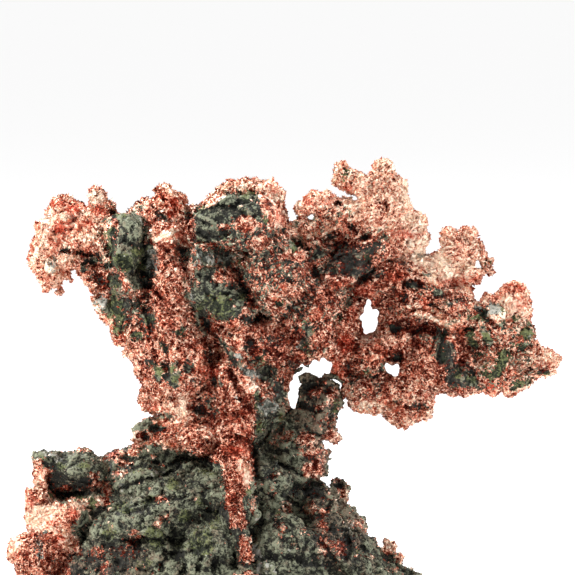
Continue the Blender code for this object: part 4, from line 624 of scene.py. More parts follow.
    (20, 90, 2.4, 1.4, 0, 0.4), (23, 88, 1.2, 1.2, 0, 0.5), (20.4, 69.2, 2.2, 0.9, -40, 0.9),
    (18, 66.4, 3, 1, 0, 0.7), (8.4, 64, 1.8, 3.4, 0, 0.8), (8, 58, 2.2, 1.4, 0, 0.95),
    (3, 71, 2.6, 1.6, -30, 0.8), (5, 53.4, 2.4, 1.2, -20, 0.6), (9.4, 54.6, 0.8, 2, 0, 0.5),
    (23.6, 56.2, 1, 0.7, 0, 0.9), (26.8, 63, 1.6, 1.8, 0, 0.6), (34.6, 59.8, 1.8, 0.7, 0, 0.6),
    (33.6, 55.6, 0.9, 1.6, -20, 0.7), (31, 50.6, 2, 1.2, -30, 0.5), (33.6, 47.4, 1.6, 2, 20, 0.7),
    (37, 45.6, 1.8, 0.7, 10, 0.8), (42.6, 49, 1.6, 0.9, 20, 0.6), (45.4, 47.6, 0.8, 1.2, 0, 0.6),
    (17, 44.4, 3, 0.9, 0, 0.5), (28.8, 41.6, 0.8, 1, 0, 0.7), (21, 40.6, 1, 0.8, 0, 0.5),
    (0, 71.4, 2, 2.4, 0, 0.6), (11, 65.6, 1.2, 1.4, 0, 0.7), (-46.2, 29.6, 1.3, 2.2, 0, 0.9),
    (-37.6, 29.4, 1.6, 1.8, 0, 0.9), (-48.8, 30.8, 1.2, 1.6, 30, 0.6), (-11.6, 32.4, 3.4, 2.4, 0, 0.75),
    (-19, 37.4, 1.8, 1.8, 0, 0.7), (-24.4, 36.8, 1.8, 0.9, 15, 0.6), (-11.8, 22.6, 0.8, 3.6, 0, 0.8),
    (-16.4, 15.6, 2.8, 2.6, 0, 0.35), (-35, 11.4, 5, 2.4, 0, 0.75), (-29, 12.4, 2.4, 1.4, 0, 0.5),
    (-30, 20.6, 4, 2, 0, 0.25), (4.6, 36.6, 1.2, 1, 0, 1), (9.2, 36.6, 1.2, 1, 0, 0.9),
    (4.2, 30.4, 1, 1, 0, 0.9), (7, 30, 1, 0.8, 0, 0.8), (10, 15, 1.4, 2, 20, 0.7), (15, 11.4, 3, 1, 0, 0.5),
    (2, 18, 3.4, 1, 0, 0.45), (10.6, 19.6, 1.4, 1, 0, 0.5), (-3, 28, 2, 1.6, 0, 0.4),
    (-8, 10, 0.8, 0.8, 0, 0.6), (-32, 34, 1, 1.2, 0, 0.6),
]
# lines cut into the surface, or raised where the depth is below zero: (depth, half width, shade, points)
# the shade is painted shade along a cut line, and painted light where it is below zero
strokes = [
    (-1.4, 1.3, 0, [(-21, 32.6), (-18, 32), (-15.4, 31), (-12.8, 30.8)]),
    # arm and boulder on the left
    (0.8, 0.7, 0.8, [(-44.6, 73.6), (-43, 73.8), (-41, 73.6), (-39.4, 73.2), (-37.4, 73.6)]),
    (0.6, 0.6, 0.8, [(-40.8, 71.4), (-39.4, 71.8), (-38, 71.2), (-36.6, 70.8), (-35, 70.8)]),
    (1.0, 0.7, 0.9, [(-34.6, 81.6), (-33.6, 79.4), (-34.2, 77), (-34, 75), (-34.8, 73), (-34.6, 71)]),
    (0.9, 0.6, 0.9, [(-30.8, 75), (-29.4, 74.6), (-28, 75.2), (-27, 75.6)]),
    (0.7, 0.5, 0.7, [(-33, 72.6), (-31.6, 72), (-30.6, 70.4), (-30.4, 69.4)]),
    (0.9, 0.7, 0.9, [(-29, 68), (-28, 66.8), (-27.2, 66.6)]),
    (0.9, 0.6, 0.9, [(-28.4, 69.4), (-27, 69), (-26.8, 67.4)]),
    (0.5, 0.4, 0.7, [(-32.8, 79), (-31.6, 77.6), (-31.8, 76), (-33, 75)]),
    (0.5, 0.4, 0.6, [(-30.6, 81), (-30, 79.4), (-30.6, 77.6), (-30, 76.2)]),
    (0.3, 0.4, 0.4, [(-27.6, 80.6), (-26.8, 78.6), (-26.8, 76.4), (-26.6, 74.4)]),
    (-0.4, 0.6, -0.3, [(-26, 74.8), (-25.8, 72.6), (-25.7, 70), (-26, 68.4)]),
    # top of the trunk
    (-0.9, 0.6, -0.5, [(-26.2, 75.9), (-24.6, 76.6), (-23, 77.4), (-21.4, 78.4)]),
    (0.6, 0.5, 0.9, [(-25.4, 86.2), (-24.4, 85), (-23.8, 84.2)]),
    (0.7, 0.6, 0.6, [(-26.2, 83), (-25.4, 81.6), (-24.4, 80.2), (-23.4, 79.4), (-22, 79.2)]),
    (1.0, 0.8, 0.9, [(-19.6, 82.6), (-19, 80.4), (-18.8, 78.4), (-18.4, 76.6)]),
    (0.6, 0.5, 0.8, [(-21.4, 74.8), (-20, 74), (-19.4, 72.6)]),
    (1.2, 0.9, 0.9, [(-17, 77.4), (-15, 77), (-13, 77.2), (-11.8, 77.8)]),
    (0.5, 0.4, 0.6, [(-17.6, 80.4), (-15, 79.4), (-13, 78.8)]),
    (-0.5, 0.4, -0.5, [(-18, 81.2), (-16.4, 80.6), (-14.8, 80.1), (-13.6, 79.3)]),
    (-0.4, 0.4, -0.4, [(-17, 82), (-14, 83.4), (-11.4, 84.8)]),
    (0.6, 0.5, 0.7, [(-13.6, 82.4), (-11, 82.8), (-9.4, 82.2), (-8, 81)]),
    (0.6, 0.5, 0.7, [(-9.4, 83.6), (-8, 84.2), (-7, 83)]),
    (0.7, 0.5, 0.8, [(-4.2, 85.4), (-3.2, 84), (-2.6, 83), (-2.4, 81.4), (-2.8, 79.6)]),
    # trunk
    (-0.6, 0.6, -0.4, [(-21.4, 70), (-20.4, 68.6), (-19.2, 66), (-18.6, 63.6), (-17.4, 60.6), (-16, 57.8)]),
    (0.8, 0.6, 0.9, [(-16.4, 60.6), (-15.6, 58.4), (-14.4, 57), (-13.4, 56.4)]),
    (1.2, 0.9, 0.9, [(-15.8, 56), (-15.2, 54), (-15, 52), (-14.6, 50.4)]),
    (0.8, 0.6, 0.9, [(-26.4, 66.2), (-25.4, 65.2), (-24.6, 64.2)]),
    (-0.6, 0.7, -0.4, [(-14, 57), (-12, 55.6), (-10.4, 54), (-9, 52.6), (-8.4, 51)]),
    (1.1, 0.8, 1.0, [(-11, 49.6), (-10, 48), (-9, 45.8), (-8, 44), (-7, 42.8), (-6.4, 41.6)]),
    (-0.4, 0.4, -0.4, [(-11.4, 49), (-10.8, 47), (-10.4, 45)]),
    (0.7, 0.5, 0.7, [(-17, 69), (-15, 68.2), (-13.4, 67.2)]),
    (0.7, 0.5, 0.7, [(-12, 69.6), (-10.6, 68.4), (-10.4, 66.4)]),
    (0.5, 0.4, 0.6, [(-16, 66), (-14, 64.6), (-13, 62.6), (-13.6, 61)]),
    (1.0, 0.7, 0.8, [(-9.4, 70), (-8.8, 67.6), (-7.2, 66), (-6.4, 64)]),
    (0.8, 0.6, 0.8, [(-8.4, 60.4), (-6.8, 60), (-4.6, 59.2)]),
    (1.2, 1.2, 0.9, [(-7, 55.6), (-6, 54.2), (-5.6, 52.8)]),
    (0.8, 0.6, 0.7, [(-0.8, 53), (1, 52.6), (2.6, 51.6)]),
    (0.8, 0.5, 0.9, [(-11.6, 36.3), (-10, 36.6), (-8.2, 36.2)]),
    (1.2, 0.9, 1.0, [(-6.6, 36.6), (-7.2, 35.2), (-6.4, 34.6)]),
    (0.8, 0.9, 0.6, [(-18.6, 42.4), (-16.6, 42), (-14.6, 41), (-13.6, 40)]),
    (1.0, 1.0, 0.7, [(-22.4, 44.6), (-21.6, 43.4)]),
    (0.8, 0.7, 0.9, [(-29, 36.8), (-28, 37), (-27.4, 36.2)]),
    (0.8, 0.6, 0.8, [(-26.6, 38), (-25, 38), (-23.6, 38)]),
    (0.6, 0.5, 0.7, [(-26.6, 56), (-25.8, 53.6), (-25.4, 51.6)]),
    (0.7, 0.6, 0.8, [(-28, 62), (-27, 60), (-26.6, 58)]),
    (0.6, 0.5, 0.7, [(-24.6, 47.6), (-23.4, 49.2), (-23.8, 51.4)]),
    # between the trunk and the branch
    (1.0, 0.7, 0.9, [(7.8, 76), (9.6, 77), (11, 77.6)]),
    (0.9, 0.7, 0.8, [(8.6, 74.6), (10.4, 75), (12, 75.4), (13.4, 75.6)]),
    (0.9, 0.6, 1.0, [(14.6, 75.7), (16, 76.3), (17, 76.7)]),
    (0.9, 0.6, 0.9, [(10.2, 83.8), (11, 83.2), (12, 82.2)]),
    (0.7, 0.5, 0.8, [(12.4, 79.4), (13.4, 78.8), (14.2, 77.8)]),
    (1.4, 1.8, 0.6, [(11, 72.8), (13, 71.8), (12.6, 70.6)]),
    (1.2, 1.2, 0.8, [(16.4, 71.4), (17, 70), (16.6, 68.6)]),
    (1.0, 0.9, 0.8, [(5.6, 70.6), (6.2, 69.2)]),
    (0.6, 0.6, 0.7, [(18.6, 83.4), (20.4, 83.4), (20.8, 82)]),
    (-0.5, 0.4, -0.2, [(2, 73), (4, 74.6), (6.6, 75.6), (8.4, 77.4)]),
    (-0.5, 0.4, -0.2, [(13, 75), (15, 75.2), (17, 76), (18.6, 77.4)]),
    (0.7, 0.6, 0.6, [(2.4, 58.6), (3.4, 56.4), (4.6, 54.6)]),
    # right branch
    (1.5, 1.5, 0.6, [(25, 58.6), (27.4, 58.6), (30, 58)]),
    (-1.0, 0.6, -0.4, [(24, 60.9), (26.4, 61.2), (29, 60.6), (31.4, 59.6), (33.6, 58.8)]),
    (-0.7, 0.4, -0.3, [(25, 62.6), (28, 62.8), (30.6, 61.6), (33, 60.6), (35, 59.8)]),
    (-0.6, 0.4, -0.2, [(24.4, 71.2), (26.4, 70), (28.4, 69), (30.4, 67.6)]),
    (-0.6, 0.4, -0.3, [(30, 63.6), (32.6, 64), (35, 62.8), (37, 62.2)]),
    (0.8, 0.6, 0.8, [(24, 60), (25, 61), (26, 62)]),
    (1.0, 0.9, 0.9, [(24.4, 67), (26.4, 67.6), (27.4, 67)]),
    (0.8, 0.6, 0.8, [(31.4, 62.2), (32.6, 61), (34.6, 60.2)]),
    (1.0, 0.9, 0.7, [(32.2, 57), (32, 54.6), (31.6, 52)]),
    (0.9, 0.7, 0.7, [(35.4, 51.6), (37, 50.6), (38.4, 49.4)]),
    (0.8, 0.6, 0.8, [(39.4, 61.6), (40.4, 60.4), (41.6, 59.4)]),
    (0.7, 0.5, 0.8, [(46, 53.8), (48, 54), (49.6, 54.6)]),
    (0.8, 0.5, 0.8, [(36.2, 58.4), (38, 58.4)]),
    (0.8, 0.6, 0.9, [(51.4, 49.8), (52.6, 49.8)]),
    (0.6, 0.5, 0.8, [(49, 50), (50, 49.8)]),
    (1.2, 1.4, 0.7, [(22, 52.8), (22.8, 52.4)]),
    (1.1, 1.3, 0.7, [(22.6, 59), (22.6, 57.6)]),
    (0.8, 1.0, 0.7, [(24, 64.6), (24.2, 63.4)]),
    (1.0, 1.0, 0.7, [(12.4, 51), (12.8, 49.8), (11.8, 50.4)]),
    (0.8, 0.6, 0.7, [(14.8, 54.8), (14.2, 53.8)]),
    (0.9, 0.8, 0.6, [(4, 47), (6, 46.4), (8.4, 46), (10, 45)]),
    (0.9, 0.8, 0.6, [(3, 43), (5, 42.6), (7, 42)]),
    # ledge and mound
    (2.2, 1.6, 0.3, [(-46.6, 28), (-44, 27.8), (-41, 27.6), (-38.4, 28.4)]),
    (-0.5, 0.5, -0.5, [(-49.8, 33.2), (-48, 33.4), (-46, 32.4), (-45, 31.6)]),
    (0.9, 0.6, 0.8, [(-46.8, 26.8), (-45.6, 25.6), (-46, 24.6)]),
    (1.2, 0.7, 0.9, [(-30.8, 21.3), (-28.6, 21.6), (-27, 22.6), (-26.6, 23.2)]),
    (0.9, 0.5, 0.8, [(-24, 31.6), (-23.4, 33), (-23.6, 34.2)]),
    (1.0, 0.6, 0.8, [(-30, 30.4), (-27, 30.7), (-24.4, 31), (-22.2, 31.2), (-21, 30.2)]),
    (0.9, 0.5, 0.8, [(-22.6, 29.4), (-20.4, 28.9), (-18.6, 28.8), (-17, 29.2)]),
    (1.0, 0.5, 0.8, [
        (-33.8, 25.8), (-31.4, 26.6), (-29.4, 27.4), (-27.4, 28.2), (-25, 28.3), (-23, 29.4), (-21, 30.6),
    ]),
    (0.8, 0.5, 0.7, [(-24.4, 28), (-24.2, 26.4), (-24.6, 25)]),
    (0.8, 0.5, 0.7, [(-28, 24.3), (-25, 24), (-21.6, 24.2), (-19.4, 24.8)]),
    (0.8, 0.5, 0.8, [(-15.4, 26), (-16.2, 24.8), (-15.8, 23.2)]),
    (1.2, 0.9, 0.7, [(-15, 22), (-13.4, 21.6), (-12, 22.4)]),
    (0.4, 0.5, 0.3, [(-27.4, 16.6), (-24, 16), (-21, 15.7), (-19, 16.2)]),
    (1.1, 0.7, 0.8, [(-24, 13.4), (-22, 12.9), (-19.6, 13.3), (-17.6, 13.7), (-15.6, 14.2)]),
    (0.9, 0.5, 0.8, [(-24.6, 10), (-24, 11.6), (-22.2, 12.8)]),
    (0.9, 0.4, 0.8, [(-20.2, 9.6), (-19.8, 11.6), (-20.2, 12.4)]),
    (0.9, 0.4, 0.8, [(-17.4, 9.8), (-17, 11.4), (-16.4, 12.4)]),
    (0.9, 0.4, 0.8, [(-14.3, 9.8), (-14.2, 11), (-13.4, 12.2)]),
    (0.7, 0.4, 0.6, [(-18.4, 27.6), (-16.4, 26.8), (-15, 26.2)]),
    (0.7, 0.4, 0.6, [(-33, 31.2), (-31.4, 30.4), (-29.4, 30.2)]),
    (0.8, 0.5, 0.7, [(-28.6, 31.2), (-27, 31.2), (-25, 31.6)]),
    (0.6, 0.4, 0.6, [(-36, 22), (-34.2, 21.4), (-32, 22), (-30.8, 21.6)]),
    (0.6, 0.4, 0.6, [(-38, 19.6), (-36.6, 20), (-34.6, 19.8)]),
    (0.6, 0.5, 0.6, [(-40.4, 18.6), (-38.6, 17.2), (-37.2, 16.4), (-35.6, 16.2)]),
    (0.7, 0.5, 0.6, [(-36, 14.8), (-33.8, 14.4), (-31.4, 14.6), (-29, 14.8)]),
    (0.7, 0.5, 0.5, [(-40.4, 12.6), (-38.4, 12), (-36, 12.2), (-33.4, 11.4)]),
    (0.8, 0.6, 0.7, [(-44.4, 13.2), (-42.6, 13), (-40.8, 13.2), (-40.4, 15)]),
    (0.9, 0.6, 0.8, [(-45.2, 11.6), (-43.4, 12), (-41.6, 12.4)]),
    (1.3, 0.8, 0.9, [(-6.2, 33.6), (-6.4, 32), (-5.8, 30.4), (-5.6, 28.4)]),
    (0.8, 0.5, 0.7, [(-5.4, 28.4), (-3.6, 28.2), (-2, 28.6)]),
    (0.7, 0.4, 0.6, [(-4.4, 26), (-2.6, 24.6), (-1.2, 23.4), (0.6, 22.4), (1.6, 21)]),
    (0.7, 0.4, 0.6, [(-1.6, 26.4), (0, 24.8), (1.6, 23.4), (3.4, 22.6)]),
    (0.7, 0.4, 0.6, [(1.6, 20.4), (3.4, 19.2), (4.8, 18), (6, 16.4)]),
    (0.8, 0.5, 0.7, [(-5, 22), (-4.6, 19.6), (-4.8, 17)]),
    (0.8, 0.5, 0.7, [(-2, 20), (-1, 18), (0.2, 16), (1.8, 14.6)]),
    (1.6, 1.6, 0.5, [(5, 26), (6.6, 26)]),
    (0.9, 0.6, 0.7, [(0.8, 28), (2.4, 27), (3.8, 26)]),
    (0.8, 0.5, 0.7, [(-3.8, 13.4), (-2.4, 12.6), (-1.4, 12)]),
    (1.4, 1.2, 0.6, [(12.4, 16), (12.8, 14.4), (12.4, 12.8)]),
    (0.7, 0.5, 0.7, [(8, 24.4), (9.6, 23.6), (8.6, 22)]),
    (0.8, 0.5, 0.7, [(9, 18), (10.6, 17.6), (12.4, 18), (14, 17.6)]),
    (0.8, 0.5, 0.6, [(6, 16.6), (7.4, 15.2), (8.8, 14), (10, 12)]),
    (0.7, 0.5, 0.6, [(0, 12.4), (2.4, 11.8), (4.8, 11), (7, 10.6)]),
    (0.7, 0.5, 0.7, [(14.4, 14.4), (16.4, 13.8), (18, 13)]),
    (0.6, 0.4, 0.6, [(8.6, 28), (9.6, 27), (11.6, 26.6)]),
    (0.9, 0.6, 0.7, [(-2, 31), (0.4, 30.4), (2.4, 29.4), (3.6, 29)]),
    (0.8, 0.6, 0.7, [(3.8, 32.6), (5.6, 32.4), (6.2, 31)]),
    (0.8, 0.6, 0.6, [(-3.6, 35.6), (-2.4, 34), (-1, 33.2)]),
    (0.8, 0.6, 0.7, [(4.4, 38.6), (6, 37.2), (7.8, 36.8)]),
]
# rounded lumps that stand out of the rock: (across, up, half width, half height, lean, height)
knolls = [
    (-41, 30.8, 4.4, 2.6, 6, 1.2), (-16, 32, 3, 1.6, -20, 1.0), (-26.4, 29.4, 3.4, 1.1, 12, 0.9),
    (-23.4, 32.4, 1.2, 1.9, 0, 0.7), (-27.6, 32.8, 2.6, 1.4, 10, 0.8), (-20.4, 30, 1.7, 1.1, 15, 0.9),
    (-21.6, 27, 2.6, 1.5, 10, 0.8), (-27, 26.2, 2.4, 1.6, 0, 0.8), (-30.4, 24.8, 3.0, 1.7, -3, 1.0),
    (-18.2, 26.6, 1.8, 1.2, -20, 0.7), (-14.2, 27.8, 2.8, 1.1, -25, 0.8), (-13.8, 24.6, 2.0, 1.7, -10, 1.1),
    (-19.6, 24.7, 1.6, 0.8, 0, 0.6), (-13, 18.8, 2.4, 1.1, -25, 0.8), (-22.4, 10.8, 1.8, 1.9, 0, 1.3),
    (-18.6, 10.8, 1.2, 1.6, 0, 1.1), (-15.6, 11.2, 1.2, 1.1, 0, 0.9), (-12, 9.8, 2.0, 1.6, 0, 1.0),
    (-24.9, 12.4, 1.2, 1.0, 0, 0.7), (-21.2, 14.7, 2.4, 0.7, 0, 0.5), (-26.8, 17.6, 1.8, 0.9, 0, 0.6),
    (-11.8, 14.4, 2.4, 1.5, 0, 0.7), (-24, 22.4, 2.2, 0.9, 0, 0.6), (-32.4, 28.4, 2.4, 1.2, 25, 0.7),
    (-35.6, 20.6, 2.6, 1.1, 5, 0.6), (-38.8, 17.4, 1.8, 1.2, -25, 0.7), (-36.4, 17.6, 1.4, 1.0, 0, 0.6),
    (-40, 14.4, 1.4, 1.6, 0, 0.6), (-41.6, 11, 1.8, 1.4, -20, 0.9), (-41, 32.6, 2.4, 1.0, 15, 0.8),
    (-42.8, 30, 1.6, 0.8, 0, 0.7), (-47, 32.2, 2.4, 0.9, -20, 0.6), (12.2, 22.2, 2.2, 2.2, -30, 0.8),
    (-1.6, 14.6, 2.2, 1.6, 0, 0.8), (7.2, 13.4, 1.3, 1.1, 0, 0.9), (16, 15.6, 2.2, 0.9, -30, 0.6),
    (-3, 10.4, 3.0, 1.6, -10, 0.9), (3.4, 20.4, 1.6, 0.9, -40, 0.6), (-3.6, 22, 1.2, 2.4, 0, 0.6),
    (-2.6, 26.4, 1.6, 1.2, -30, 0.6), (4.2, 24, 1.6, 1.0, 0, 0.5), (-0.6, 32.2, 2.0, 1.2, 0, 0.7),
    (2.6, 33, 1.4, 1.2, 0, 0.6), (20, 11.6, 2.4, 0.9, -30, 0.6), (11.4, 11.6, 1.8, 1.0, 0, 0.5),
    (-9, 10.2, 1.6, 1.0, 0, 0.5),
    # on the boulders and chunks
    (-30.4, 79.6, 1.6, 1.4, 20, 0.6), (-32.2, 74.2, 1.6, 1.7, 0, 0.7), (-29.2, 77.2, 1.6, 1.2, 0, 0.6),
    (-31.2, 69, 1.6, 1.4, 0, 0.6), (-28.4, 71, 1.2, 1.2, 0, 0.6), (-9.4, 84.4, 3.0, 1.2, 8, 0.7),
    (-14.6, 81.2, 2.4, 1.2, 15, 0.6), (-6.6, 82.4, 1.6, 1.4, 0, 0.6), (-12, 63, 1.8, 2.0, 0, 0.5),
    (-15.6, 67, 1.4, 1.6, 0, 0.5), (-9.6, 64.6, 1.6, 1.6, 0, 0.5), (-22, 49.4, 1.4, 2.0, 0, 0.7),
    (-25.2, 49.8, 1.0, 1.0, 0, 0.6), (12.6, 73, 1.4, 0.9, 0, 0.5), (14.4, 69.6, 1.6, 1.2, 0, 0.5),
    (33, 53, 1.2, 2.0, 0, 0.5), (35.6, 48, 1.8, 1.2, 0, 0.6), (40.8, 56.4, 1.0, 1.8, 20, 0.6),
    (37.2, 57.2, 1.0, 1.1, 0, 0.6), (44, 52.6, 1.1, 1.4, -20, 0.7), (48.6, 57.2, 1.2, 1.1, 0, 0.6),
    (46.4, 60.2, 0.7, 0.8, 0, 0.4), (43.9, 59.1, 0.9, 0.8, 0, 0.5), (31, 65.5, 1.2, 1.0, 0, 0.5),
    (34.2, 57, 0.9, 0.9, 0, 0.6), (5, 46.6, 1.6, 1.4, 0, 0.5), (9, 44, 1.4, 1.4, 0, 0.5),
    (42, 46.6, 1.2, 1.0, 0, 0.5),
]

